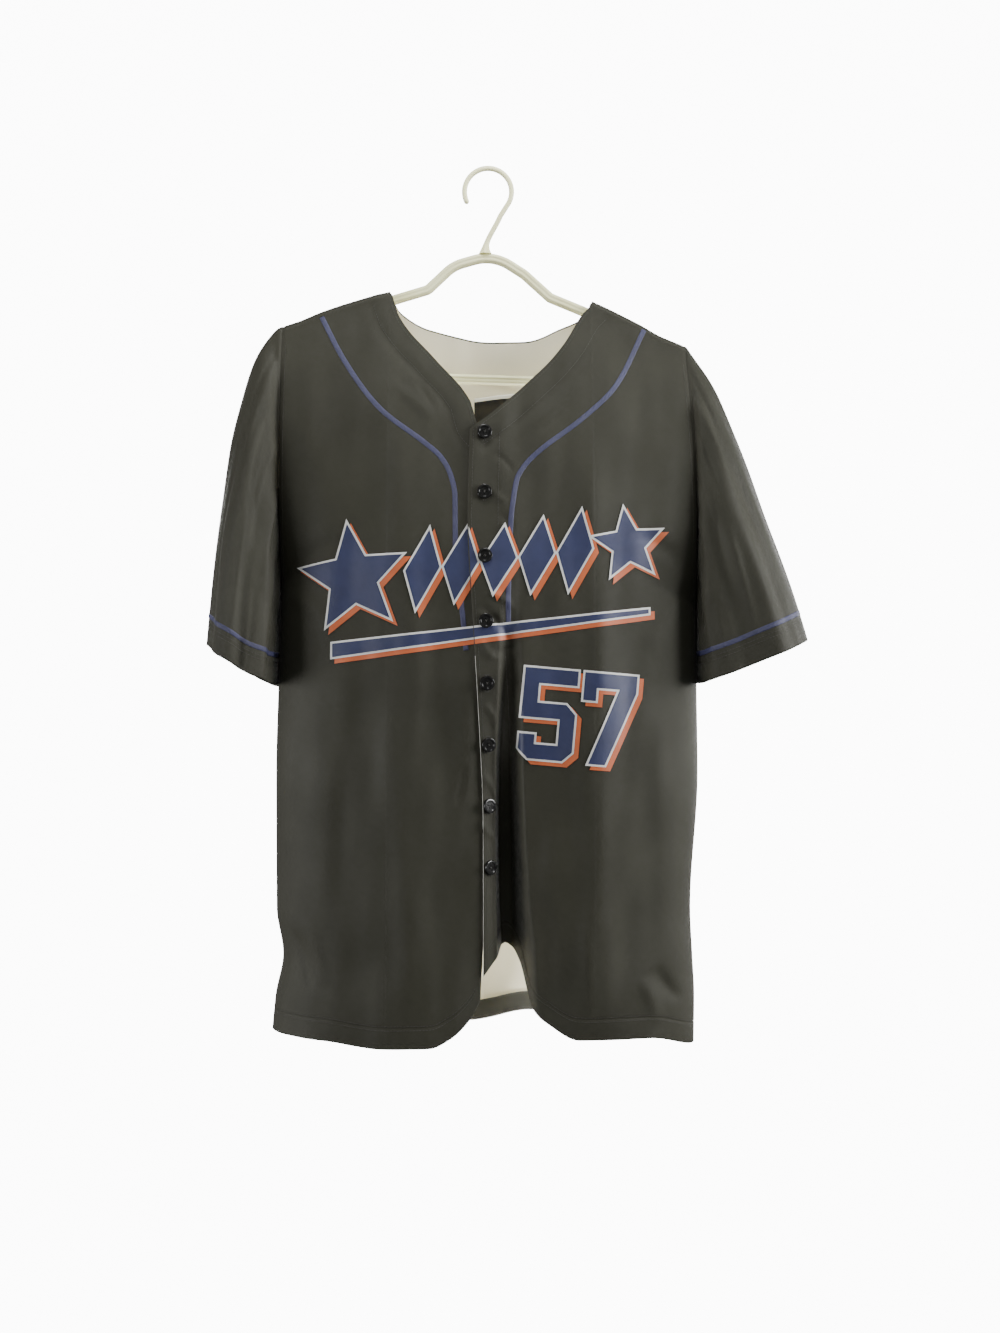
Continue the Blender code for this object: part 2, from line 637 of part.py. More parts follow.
def hanger_path():
    feet = [Vector((x, drop)) for x, drop in zip(ARMS["foot_x"], ARMS["foot_drop"])]
    ends = []
    for foot, slope in zip(feet, ARMS["slope"]):
        x = (foot[1] - slope * foot[0] - BAR_DROP) / (BAR_SLOPE - slope)
        ends.append(Vector((x, BAR_DROP + BAR_SLOPE * x)))
    arch = [Vector((x, drop)) for x, drop in zip(ARCH["x"], ARCH["drop"])]
    corners = [ends[0], feet[0], *arch, feet[1], ends[1]]
    radii = [ARMS["end_radius"][0], FOOT_RADIUS, *ARCH["radius"], FOOT_RADIUS, ARMS["end_radius"][1]]
    return rounded(corners, radii)


def hook_path(base_x, base_drop):
    """Up from the flared base on the arch, out to one side and round over the rod."""
    stem = zip(HOOK_STEM["aside"], HOOK_STEM["rise"])
    places = [(base_x + aside, base_drop - rise) for aside, rise in stem]
    radii = list(HOOK_WIRE * HOOK_STEM["wire_scale"])
    centre_drop = HOOK_RADIUS - HOOK_WIRE
    for angle in np.radians(np.linspace(*HOOK_TURN, HOOK_STEPS)):
        places.append((HOOK_RADIUS * math.cos(angle), centre_drop - HOOK_RADIUS * math.sin(angle)))
        radii.append(HOOK_WIRE)
    return places, radii


def hanger(finish):
    path = hanger_path()
    tube("hanger", path, [TUBE] * len(path), True, finish)
    crown = min(path, key=lambda point: point[1])
    places, radii = hook_path(crown[0], crown[1] - TUBE - SEAM_GAP)
    tube("hanger_hook", places, radii, False, finish)


def main():
    for old in list(bpy.data.objects):
        bpy.data.objects.remove(old)
    cloth = material("jersey_cloth", DARK, 0.75)
    braid = material("blue_braid", BLUE, 0.65)
    plastic = material("cream_plastic", CREAM, 0.35)
    shell = material("button_plastic", BLACK, 0.2)
    woven = material("label_satin", BLACK, 0.5)

    neck_left, neck_right = level(NECK_LEFT), level(NECK_RIGHT)
    inside_left, inside_right = level(NECK_LEFT + NECK_TURN), level(NECK_RIGHT - NECK_TURN)
    lip, end = at_valley("lip"), at_valley("end")
    floor_left, floor_right = at_valley("floor_left"), at_valley("floor_right")
    right_spans = [
        (side("left"), neck_left, SHOULDER_COLUMNS, "start"),
        (neck_left, inside_left, 1, ""),
        (inside_left, front_edge("under"), 9, "")]
    left_spans = [
        (front_edge("over"), lip, 3, ""),
        (lip, floor_left, 4, ""),
        (floor_left, floor_right, 1, ""),
        (floor_right, end, 4, ""),
        (end, inside_right, 7, ""),
        (inside_right, neck_right, 1, ""),
        (neck_right, side("right"), SHOULDER_COLUMNS, "end")]
    back_spans = [
        (side("left"), neck_left, SHOULDER_COLUMNS, "start"),
        (neck_left, inside_left, 1, ""),
        (inside_left, inside_right, 15, ""),
        (inside_right, neck_right, 1, ""),
        (neck_right, side("right"), SHOULDER_COLUMNS, "end")]
    under = body_panel("right_front", right_front_surface, right_spans,
                       NECK_RIGHT_FRONT, HEM_RIGHT_FRONT, "left", True, cloth)
    over = body_panel("left_front", left_front_surface, left_spans,
                      NECK_LEFT_FRONT, HEM_LEFT_FRONT, "right", True, cloth)
    body_panel("back", back_surface, back_spans, NECK_BACK, HEM_BACK, "left", False, cloth)
    for name, cut in SLEEVES.items():
        sleeve(name, cut, cloth, braid)
    front_braid("right_front_braid", under, right_front_surface, RIGHT_BRAID, braid)
    front_braid("left_front_braid", over, left_front_surface, LEFT_BRAID, braid)
    buttons(shell)
    neck_label(woven)
    hanger(plastic)


main()
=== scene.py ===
import json
import math

import bmesh
import bpy
import numpy as np
from mathutils import Matrix, Vector
from mathutils.bvhtree import BVHTree

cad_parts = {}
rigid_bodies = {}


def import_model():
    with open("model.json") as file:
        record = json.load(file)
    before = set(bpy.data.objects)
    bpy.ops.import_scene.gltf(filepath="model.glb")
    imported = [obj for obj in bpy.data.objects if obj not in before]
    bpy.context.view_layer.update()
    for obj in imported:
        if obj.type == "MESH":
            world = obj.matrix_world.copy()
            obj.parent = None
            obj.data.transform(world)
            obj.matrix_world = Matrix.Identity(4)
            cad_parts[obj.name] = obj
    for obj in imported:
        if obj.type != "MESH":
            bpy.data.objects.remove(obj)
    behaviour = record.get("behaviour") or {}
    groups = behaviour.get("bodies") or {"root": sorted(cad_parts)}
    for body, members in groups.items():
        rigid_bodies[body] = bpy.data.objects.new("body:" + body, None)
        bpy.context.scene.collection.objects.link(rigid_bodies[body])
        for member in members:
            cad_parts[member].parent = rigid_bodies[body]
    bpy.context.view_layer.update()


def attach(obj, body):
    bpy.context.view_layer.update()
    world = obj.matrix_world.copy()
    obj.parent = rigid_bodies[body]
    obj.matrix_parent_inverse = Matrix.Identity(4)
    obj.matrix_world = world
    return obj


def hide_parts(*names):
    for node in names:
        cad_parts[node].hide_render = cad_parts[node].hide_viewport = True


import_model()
print("stage: the frame is loaded")


# Heights are given as a drop, the distance below the hook. x is to the viewer's right, the front faces -y.
def table(columns, *rows):
    return dict(zip(columns.split(), np.array(rows, float).T))


def rowsOf(rows):
    return zip(*rows.values())


# The cut of the cloth: the same sizes as the solids, with more creases
cloth = {
    "wall": 0.0012,
    "seamGap": 0.0003,
    "seamSink": 0.0005,         # seams lie in a groove this deep
    "seamSinkWidth": 0.0024,
    "hem": 0.0200,              # turned up inside
    "hemSink": 0.00035,
    "hemSinkWidth": 0.0009,
    "hemThick": 0.0006,         # the turned hem stands this far off the inside
    "ripple": 0.00045,          # small unevenness all over, from these waves: across, down, size
    "waves": ((0.061, 0.230, 1.0), (0.037, -0.310, 0.7), (0.115, 0.083, 0.8), (-0.081, 0.143, 0.6),
              (0.024, 0.190, 0.35)),
    "edgeBulge": 0.35,          # free edges are rounded by this share of the wall
    "facing": 0.0225,           # the neck facing's edge, this far from the neckline
    "facingSink": 0.0012,
    "facingWidth": 0.0055,
}

hangerCut = {
    "tube": 0.005,
    "groove": 0.0011,
    "grooveWidth": 0.34,        # radians on either side of the front and the back
    "sides": 36,
    "arms": table(
        "footX footDrop slope endRadius",
        (-0.060, 0.119, -0.300, 0.0224),
        (0.062, 0.127, 0.412, 0.0200)),
    "barDrop": 0.209,
    "barSlope": 0.0314,
    "arch": table(
        "x drop radius",
        (-0.0345, 0.0950, 0.038),
        (0.005, 0.0838, 0.044),
        (0.036, 0.1035, 0.024)),
    "footRadius": 0.010,
    "turnSteps": 96,
    "hookRadius": 0.0235,
    "hookWire": 0.0026,
    "hookTurn": (-28, 205),     # degrees
    "hookSteps": 60,
    "hookStem": table(
        "aside rise wireScale",
        (0.0000, -0.0010, 2.60),
        (0.0000, 0.0015, 2.10),
        (0.0002, 0.0040, 1.65),
        (0.0010, 0.0085, 1.15),
        (0.0026, 0.0130, 1.02),
        (0.0045, 0.0170, 1.00),
        (0.0072, 0.0220, 1.00),
        (0.0100, 0.0270, 1.00),
        (0.0128, 0.0322, 1.00),
        (0.0150, 0.0370, 1.00)),
}

body = {
    "shoulderRoll": 0.0078,
    "neckEnds": (-0.098, 0.104),
    "neckTurn": 0.003,
    "neckFall": 0.007,
    "armholeDrop": 0.255,
    "sideRound": 3,
    "seamHold": 8,
    "placketLift": 0.0023,
    "liftFrom": 0.012,
    "liftOver": 0.026,
    "foldFade": 0.12,
    "valleyRoll": 0.16,
    "slack": table(
        "x rise",
        (-0.213, 0.0), (-0.190, 0.0005), (-0.165, 0.0032), (-0.140, 0.0041), (-0.113, 0.0041),
        (-0.098, 0.0030),
        (0.104, 0.0068), (0.150, 0.0035), (0.175, 0.0), (0.210, 0.0)),
    "sides": table(
        "drop left right",
        (0.160, -0.2050, 0.1960),
        (0.300, -0.2055, 0.2040),
        (0.419, -0.2062, 0.2075),
        (0.520, -0.2095, 0.2085),
        (0.600, -0.2115, 0.2095),
        (0.735, -0.2110, 0.2020),
        (0.781, -0.2045, 0.2040),
        (0.822, -0.2120, 0.2060),
        (0.870, -0.2165, 0.2055)),
    "fall": table(
        "below front back",
        (0.00, 0.000, 0.000),
        (0.02, 0.004, 0.004),
        (0.06, 0.014, 0.012),
        (0.12, 0.030, 0.026),
        (0.20, 0.045, 0.042),
        (0.30, 0.056, 0.056),
        (0.45, 0.063, 0.065),
        (0.75, 0.066, 0.070)),
    "frontEdges": table(
        "drop over under",
        (0.263, -0.0172, 0.0075),
        (0.354, -0.0189, 0.0075),
        (0.451, -0.0139, 0.0075),
        (0.528, -0.0091, 0.0072),
        (0.652, -0.0040, 0.0060),
        (0.747, -0.0038, -0.0033),
        (0.820, -0.0038, -0.0071)),
    "valley": table(
        "drop lip floorLeft floorRight end depth",
        (0.430, 0.0110, 0.0190, 0.0205, 0.0360, 0.000),
        (0.520, 0.0095, 0.0165, 0.0200, 0.0350, 0.014),
        (0.585, 0.0070, 0.0125, 0.0200, 0.0350, 0.030),
        (0.652, 0.0065, 0.0115, 0.0215, 0.0370, 0.040),
        (0.718, 0.0070, 0.0120, 0.0225, 0.0410, 0.043),
        (0.766, 0.0085, 0.0140, 0.0225, 0.0460, 0.042),
        (0.870, 0.0105, 0.0170, 0.0225, 0.0540, 0.034)),
}

# Long soft folds: depth is towards the inside of the garment
foldColumns = "xTop xHem fromDrop toDrop halfWidth depth"
folds = {
    "front": table(
        foldColumns,
        (-0.158, -0.172, 0.280, 0.900, 0.026, -0.0010),
        (-0.118, -0.130, 0.220, 0.900, 0.024, 0.0022),
        (-0.078, -0.080, 0.240, 0.900, 0.022, -0.0024),
        (-0.046, -0.042, 0.330, 0.880, 0.018, 0.0024),
        (0.008, 0.010, 0.500, 0.960, 0.042, 0.0100),
        (0.054, 0.058, 0.420, 0.930, 0.026, 0.0030),
        (0.106, 0.108, 0.240, 0.900, 0.022, -0.0038),
        (0.152, 0.156, 0.330, 0.900, 0.028, 0.0014),
        (0.182, 0.184, 0.380, 0.900, 0.016, -0.0014)),
    "back": table(
        foldColumns,
        (-0.150, -0.160, 0.260, 0.900, 0.018, 0.0055),
        (-0.105, -0.120, 0.300, 0.900, 0.020, -0.0055),
        (-0.062, -0.070, 0.260, 0.900, 0.018, 0.0065),
        (-0.015, -0.020, 0.320, 0.900, 0.022, -0.0060),
        (0.040, 0.045, 0.250, 0.900, 0.018, 0.0065),
        (0.090, 0.098, 0.310, 0.900, 0.020, -0.0055),
        (0.142, 0.150, 0.270, 0.900, 0.018, 0.0055)),
}

# Smaller creases, each along its own line: rise is outward, bend bows the line sideways
creaseColumns = "x0 drop0 x1 drop1 bend halfWidth rise"
creases = {
    "front": table(
        creaseColumns,
        (-0.100, 0.215, -0.052, 0.256, 0.003, 0.0050, 0.0011),
        (-0.072, 0.214, -0.050, 0.246, 0.001, 0.0032, -0.0009),
        (0.041, 0.262, 0.092, 0.212, -0.003, 0.0045, 0.0010),
        (0.050, 0.268, 0.073, 0.246, 0.000, 0.0030, -0.0008),
        (0.006, 0.288, 0.025, 0.307, 0.002, 0.0032, -0.0012),
        (0.000, 0.318, 0.020, 0.338, -0.002, 0.0034, 0.0012),
        (0.010, 0.345, 0.024, 0.366, 0.002, 0.0036, -0.0009),
        (-0.008, 0.436, 0.020, 0.474, 0.004, 0.0040, -0.0020),
        (-0.002, 0.424, 0.026, 0.440, 0.003, 0.0036, 0.0016),
        (-0.008, 0.468, 0.012, 0.490, -0.003, 0.0034, 0.0016),
        (0.004, 0.492, 0.028, 0.474, 0.003, 0.0038, -0.0014),
        (-0.004, 0.530, 0.010, 0.556, 0.002, 0.0034, 0.0014),
        (-0.006, 0.598, 0.008, 0.622, 0.002, 0.0032, 0.0014),
        (-0.006, 0.640, 0.007, 0.662, -0.002, 0.0030, 0.0014),
        (-0.022, 0.588, -0.030, 0.630, 0.001, 0.0030, -0.0016),
        (-0.016, 0.520, -0.034, 0.700, 0.004, 0.0080, 0.0008),
        (-0.190, 0.752, -0.172, 0.812, 0.003, 0.0050, -0.0034),
        (-0.180, 0.740, -0.158, 0.806, 0.003, 0.0060, 0.0022),
        (0.162, 0.786, 0.192, 0.822, -0.004, 0.0070, -0.0034),
        (0.148, 0.796, 0.166, 0.842, 0.003, 0.0060, 0.0022),
        (0.103, 0.400, 0.109, 0.720, 0.003, 0.0092, 0.0011),
        (0.084, 0.560, 0.078, 0.780, 0.002, 0.0138, -0.0012),
        (-0.186, 0.170, -0.176, 0.330, 0.004, 0.0103, 0.0010),
        (-0.140, 0.165, -0.152, 0.300, 0.004, 0.0103, -0.0009),
        (0.150, 0.185, 0.166, 0.330, -0.004, 0.0103, -0.0010),
        (0.184, 0.200, 0.178, 0.340, 0.003, 0.0092, 0.0009),
        (-0.196, 0.404, -0.138, 0.372, 0.006, 0.0080, -0.0018),
        (-0.198, 0.424, -0.150, 0.470, 0.008, 0.0090, 0.0020),
        (0.198, 0.404, 0.140, 0.366, -0.006, 0.0080, -0.0018),
        (0.198, 0.428, 0.160, 0.486, -0.008, 0.0090, 0.0020),
        (-0.104, 0.430, -0.098, 0.640, 0.006, 0.0086, 0.0007),
        (-0.060, 0.400, -0.066, 0.600, 0.004, 0.0080, -0.0007),
        (-0.142, 0.560, -0.148, 0.800, 0.005, 0.0092, -0.0008),
        (-0.196, 0.560, -0.190, 0.700, 0.003, 0.0080, 0.0008),
        (-0.090, 0.660, -0.102, 0.850, 0.004, 0.0080, -0.0008),
        (-0.060, 0.720, -0.056, 0.860, 0.003, 0.0092, 0.0009),
        (0.132, 0.480, 0.128, 0.680, 0.004, 0.0080, -0.0007),
        (0.166, 0.540, 0.164, 0.760, 0.004, 0.0080, 0.0008),
        (0.092, 0.740, 0.098, 0.850, 0.003, 0.0070, 0.0015),
        (0.190, 0.600, 0.186, 0.740, 0.003, 0.0069, -0.0008),
        (0.062, 0.700, 0.070, 0.830, 0.003, 0.0069, 0.0007)),
    "back": table(
        creaseColumns,
        (-0.060, 0.205, 0.055, 0.232, 0.010, 0.0100, 0.0022),
        (-0.048, 0.232, 0.070, 0.205, -0.008, 0.0080, -0.0016),
        (-0.176, 0.170, -0.160, 0.340, 0.005, 0.0090, 0.0018),
        (-0.120, 0.165, -0.134, 0.320, 0.004, 0.0100, -0.0018),
        (0.130, 0.185, 0.144, 0.330, -0.004, 0.0100, -0.0018),
        (0.174, 0.195, 0.166, 0.350, 0.003, 0.0080, 0.0018),
        (-0.196, 0.404, -0.120, 0.372, 0.008, 0.0090, -0.0022),
        (-0.198, 0.430, -0.136, 0.488, 0.008, 0.0090, 0.0022),
        (0.198, 0.404, 0.124, 0.366, -0.008, 0.0090, -0.0022),
        (0.198, 0.432, 0.144, 0.500, -0.008, 0.0090, 0.0022),
        (-0.084, 0.330, -0.078, 0.560, 0.006, 0.0080, 0.0015),
        (-0.036, 0.420, -0.044, 0.640, 0.005, 0.0075, -0.0015),
        (0.012, 0.300, 0.004, 0.500, 0.005, 0.0080, 0.0014),
        (0.062, 0.440, 0.070, 0.700, 0.006, 0.0080, 0.0015),
        (0.116, 0.380, 0.112, 0.600, 0.004, 0.0080, -0.0015),
        (-0.136, 0.560, -0.146, 0.800, 0.005, 0.0080, -0.0015),
        (-0.186, 0.600, -0.184, 0.780, 0.003, 0.0070, 0.0014),
        (-0.012, 0.660, -0.002, 0.850, 0.004, 0.0080, 0.0016),
        (0.030, 0.720, 0.022, 0.850, 0.004, 0.0070, -0.0014),
        (0.176, 0.560, 0.180, 0.780, 0.004, 0.0070, 0.0015),
        (0.134, 0.700, 0.128, 0.850, 0.004, 0.0070, 0.0014),
        (0.168, 0.780, 0.194, 0.826, -0.004, 0.0070, -0.0030),
        (-0.188, 0.752, -0.168, 0.812, 0.003, 0.0060, -0.0030)),
}

# Neckline and hem of each panel, by x
edges = {
    "rightNeck": table(
        "x drop",
        (-0.0873, 0.1495), (-0.0521, 0.1923), (-0.0174, 0.2347), (-0.0095, 0.2600), (0.0081, 0.2750)),
    "leftNeck": table(
        "x drop",
        (-0.0189, 0.2650), (0.0022, 0.2490), (0.0218, 0.2325), (0.0400, 0.2155), (0.0600, 0.1955),
        (0.0762, 0.1750), (0.0940, 0.1450)),
    "backNeck": table(
        "x drop",
        (-0.088, 0.1395), (-0.058, 0.1565), (0.007, 0.1685), (0.037, 0.168), (0.073, 0.1555),
        (0.095, 0.1455)),
    "rightHem": table(
        "x drop",
        (-0.2165, 0.8550), (-0.1610, 0.8560), (-0.1050, 0.8617), (-0.0548, 0.8606), (-0.0357, 0.8520),
        (-0.0176, 0.8352), (-0.0071, 0.8166)),
    "leftHem": table(
        "x drop",
        (-0.0040, 0.7930), (0.0082, 0.7776), (0.0168, 0.7671), (0.0235, 0.7709), (0.0320, 0.7852),
        (0.0368, 0.8024), (0.0416, 0.8224), (0.0588, 0.8387), (0.0875, 0.8530), (0.1570, 0.8545),
        (0.2055, 0.8685)),
    "backHem": table(
        "x drop",
        (-0.2165, 0.8550), (-0.1200, 0.8655), (-0.0200, 0.8660), (0.0430, 0.8540), (0.1200, 0.8580),
        (0.2055, 0.8685)),
}

# Rows and columns of the cloth
density = {
    "rollSteps": 10,
    "armholeRows": 78,
    "lowerRows": 128,
    "hemRows": (0.0262, 0.0236, 0.0218, 0.0208, 0.0199, 0.0190, 0.0178, 0.0150, 0.0120, 0.0090,
                0.0060, 0.0034, 0.0014, 0.0),
    "turnedRows": 9,            # of those, the ones on the turned-up hem
    "neckRows": 4,              # inside rows in the outer colour along the neck
    "paintedShadeRimRows": 12,            # rows below the armhole after which the over front's edge turns white; above that row the edge is painted dark as shade
    "side": 38,
    "firstTop": 0.2,
    "firstHem": 0.85,
    "passes": 12,
}


def smoothCurve(xs, ys, at):    # a cubic through a table's points that never overshoots them
    at = np.clip(at, xs[0], xs[-1])
    step = np.diff(xs)
    slope = np.diff(ys) / step
    tangent = np.zeros(len(xs))
    tangent[0], tangent[-1] = slope[0], slope[-1]
    sameWay = slope[:-1] * slope[1:] > 0
    before, after = slope[:-1][sameWay], slope[1:][sameWay]
    tangent[1:-1][sameWay] = 2 * before * after / (before + after)
    i = np.clip(np.searchsorted(xs, at, side="right") - 1, 0, len(step) - 1)
    t = (at - xs[i]) / step[i]
    start = ys[i] * (1 + 2 * t) * (1 - t) ** 2 + step[i] * tangent[i] * t * (1 - t) ** 2
    return start + ys[i + 1] * t * t * (3 - 2 * t) + step[i] * tangent[i + 1] * t * t * (t - 1)


def easeInOut(value):
    value = np.clip(value, 0, 1)
    return value * value * (3 - 2 * value)


def lookUp(rows, column, drop):
    return smoothCurve(rows["drop"], rows[column], drop)


def unit(vectors):
    return vectors / np.maximum(np.linalg.norm(vectors, axis=-1, keepdims=True), 1e-12)


# The cloth's surfaces
def armLine(x):
    arms = hangerCut["arms"]
    arm = (np.asarray(x) > 0).astype(int)
    return arms["footDrop"][arm] + arms["slope"][arm] * (x - arms["footX"][arm])


def shoulderLine(x):    # the cloth's top edge over the hanger's arms
    arm = (np.asarray(x) > 0).astype(int)
    lean = np.sqrt(1 + hangerCut["arms"]["slope"][arm] ** 2)
    over = hangerCut["tube"] + cloth["seamGap"] + cloth["wall"]
    return armLine(x) - over * lean - smoothCurve(body["slack"]["x"], body["slack"]["rise"], x)


def ridgeLine(x):       # straight across the neck
    ends = np.array(body["neckEnds"])
    across = np.interp(x, ends, shoulderLine(ends))
    return np.where((x > ends[0]) & (x < ends[1]), across, shoulderLine(x))


def halfDepth(below, face):
    over = np.clip(below / body["shoulderRoll"], 0, 1)
    fallen = smoothCurve(body["fall"]["below"], body["fall"][face], below - body["shoulderRoll"])
    return body["shoulderRoll"] * np.sqrt(over * (2 - over)) + fallen


def armholeShare(below):
    return np.clip(1 - (below / body["armholeDrop"]) ** 2, 0, 1)


def foldDepth(rows, x, drop):
    total = np.zeros(np.broadcast(x, drop).shape)
    for xTop, xHem, top, bottom, width, depth in rowsOf(rows):
        along = np.clip((drop - top) / (bottom - top), 0, 1)
        centre = xTop + (xHem - xTop) * along
        here = easeInOut((drop - top) / body["foldFade"]) * easeInOut((bottom - drop) / body["foldFade"])
        total += depth * here * np.exp(-((x - centre) / width) ** 2)
    return total


def creaseRise(rows, x, drop):
    total = np.zeros(np.broadcast(x, drop).shape)
    for x0, drop0, x1, drop1, bend, width, rise in rowsOf(rows):
        run, fall = x1 - x0, drop1 - drop0
        length = math.hypot(run, fall)
        along = ((x - x0) * run + (drop - drop0) * fall) / length ** 2
        share = np.clip(along, 0, 1)
        bow = bend * 4 * share * (1 - share)
        aside = ((x - x0) * fall - (drop - drop0) * run) / length - bow
        past = np.maximum(np.abs(along - 0.5) - 0.5, 0) * length
        taper = 1 - np.abs(2 * share - 1) ** 3
        total += rise * taper * np.exp(-(aside ** 2 + past ** 2) / width ** 2)
    return total


def ripple(x, drop, phase):     # slow waves that run mostly down the cloth
    total = 0
    for number, (across, down, size) in enumerate(cloth["waves"]):
        total = total + size * np.sin(2 * math.pi * (x / across + drop / down) + phase * (number + 1) ** 1.7)
    return cloth["ripple"] * total


def valleyDepth(x, drop):
    edge = lookUp(body["frontEdges"], "over", drop)
    lip, floorLeft, floorRight, end, depth = (
        lookUp(body["valley"], name, drop) for name in ("lip", "floorLeft", "floorRight", "end", "depth"))
    roll = body["valleyRoll"] * easeInOut((x - edge) / (lip - edge))
    wall = (1 - body["valleyRoll"]) * easeInOut((x - lip) / (floorLeft - lip))
    return depth * (roll + wall) * (1 - easeInOut((x - floorRight) / (end - floorRight)))


def bodySurface(x, drop, face):
    left, right = lookUp(body["sides"], "left", drop), lookUp(body["sides"], "right", drop)
    across = np.clip((2 * x - left - right) / (right - left), -1, 1)
    below = np.maximum(drop - ridgeLine(x), 0)
    atSide = armholeShare(below)
    out = halfDepth(below, face) * (atSide + (1 - atSide) * np.sqrt(1 - np.abs(across) ** body["sideRound"]))
    away = (1 - np.abs(across) ** body["seamHold"]) * easeInOut(below / 0.03)
    inward = foldDepth(folds[face], x, drop) - creaseRise(creases[face], x, drop)
    inward = inward - ripple(x, drop, 1.3 if face == "front" else 4.1)
    if face == "front":
        inward = inward + valleyDepth(x, drop)
    depth = out - inward * away
    return np.stack(np.broadcast_arrays(x, -depth if face == "front" else depth, -drop), axis=-1)


def leftFrontSurface(x, drop):
    points = bodySurface(x, drop, "front")
    points[..., 1] -= body["placketLift"] * (1 - easeInOut((x - body["liftFrom"]) / body["liftOver"]))
    return points


def rightFrontSurface(x, drop):
    return bodySurface(x, drop, "front")


def backSurface(x, drop):
    return bodySurface(x, drop, "back")


def armholeSteps():
    turn = np.linspace(0, math.pi / 2, density["rollSteps"] + 1)
    roll = body["shoulderRoll"] * (1 - np.cos(turn))
    return np.concatenate([roll, np.linspace(roll[-1], body["armholeDrop"], density["armholeRows"] + 1)[1:]])


def spreadOut(count, bunched=""):
    even = np.linspace(0, 1, count + 1)
    if bunched == "end":
        return np.sin(even * math.pi / 2)
    if bunched == "start":
        return 1 - np.cos(even * math.pi / 2)
    return even


def columnPlaces(spans, drop):
    places = []
    for start, end, count, bunched in spans:
        shares = spreadOut(count, bunched)
        for share in shares[1:] if places else shares:
            here = drop[..., len(places)]
            places.append(start(here) * (1 - share) + end(here) * share)
    return np.stack(places, axis=-1)


def panelGrid(spans, top, hem, side):
    count = sum(span[2] for span in spans) + 1
    topDrop, hemDrop = np.full(count, density["firstTop"]), np.full(count, density["firstHem"])
    for _ in range(density["passes"]):
        topDrop = top(columnPlaces(spans, topDrop))
        hemDrop = hem(columnPlaces(spans, hemDrop))
    hemRows = np.array(density["hemRows"])
    seam = 0 if side == "left" else -1
    length = hemDrop[seam] - topDrop[seam] - hemRows[0]
    lower = np.linspace(body["armholeDrop"], length, density["lowerRows"] + 1)[1:-1]
    shares = np.concatenate([armholeSteps(), lower]) / length
    upper = topDrop + shares[:, None] * (hemDrop - hemRows[0] - topDrop)
    drop = np.concatenate([upper, hemDrop - hemRows[:, None]])
    return columnPlaces(spans, drop), drop


def topEdge(neck):
    left, right = body["neckEnds"]
    start, end = ridgeLine(np.array([left, right]))
    xs, drops = neck["x"], neck["drop"]
    if xs[0] < left / 2:
        xs = np.concatenate([[left, left + body["neckTurn"]], xs])
        drops = np.concatenate([[start, start + body["neckFall"]], drops])
    if xs[-1] > right / 2:
        xs = np.concatenate([xs, [right - body["neckTurn"], right]])
        drops = np.concatenate([drops, [end + body["neckFall"], end]])
    return lambda x: np.where((x > left) & (x < right), smoothCurve(xs, drops, x), ridgeLine(x))


def hemEdge(rows):
    return lambda x: smoothCurve(rows["x"], rows["drop"], x)


def alongRows(rows, column):
    return lambda drop: lookUp(rows, column, drop)


def level(x):
    return lambda drop: np.full_like(drop, x)


def gridNormals(points, outward, ring=False):
    down = np.gradient(points, axis=0)
    over = np.roll(points, -1, axis=1) - np.roll(points, 1, axis=1) if ring else np.gradient(points, axis=1)
    result = unit(np.cross(down, over))
    return result * np.sign(np.sum(result * outward))


def arcLengths(points, axis):
    steps = np.linalg.norm(np.diff(points, axis=axis), axis=-1)
    start = np.zeros_like(np.take(steps, [0], axis=axis))
    return np.concatenate([start, np.cumsum(steps, axis=axis)], axis=axis)


# Meshes
def linkPiece(name, mesh):
    made = bpy.data.objects.new(name, mesh)
    bpy.context.scene.collection.objects.link(made)
    return made


def newPiece(name, vertices, faces, cornerUv, slots, materials):
    mesh = bpy.data.meshes.new(name)
    mesh.from_pydata(vertices.tolist(), [], faces)
    layer = mesh.uv_layers.new(name="UVMap")
    layer.data.foreach_set("uv", np.asarray(cornerUv, np.float32).ravel())
    for material in materials:
        mesh.materials.append(material)
    mesh.polygons.foreach_set("material_index", np.asarray(slots, np.int32))
    shape = bmesh.new()
    shape.from_mesh(mesh)
    bmesh.ops.recalc_face_normals(shape, faces=shape.faces)
    shape.to_mesh(mesh)
    shape.free()
    mesh.shade_smooth()
    return linkPiece(name, mesh)


def everyFace(row, column):
    return row >= 0


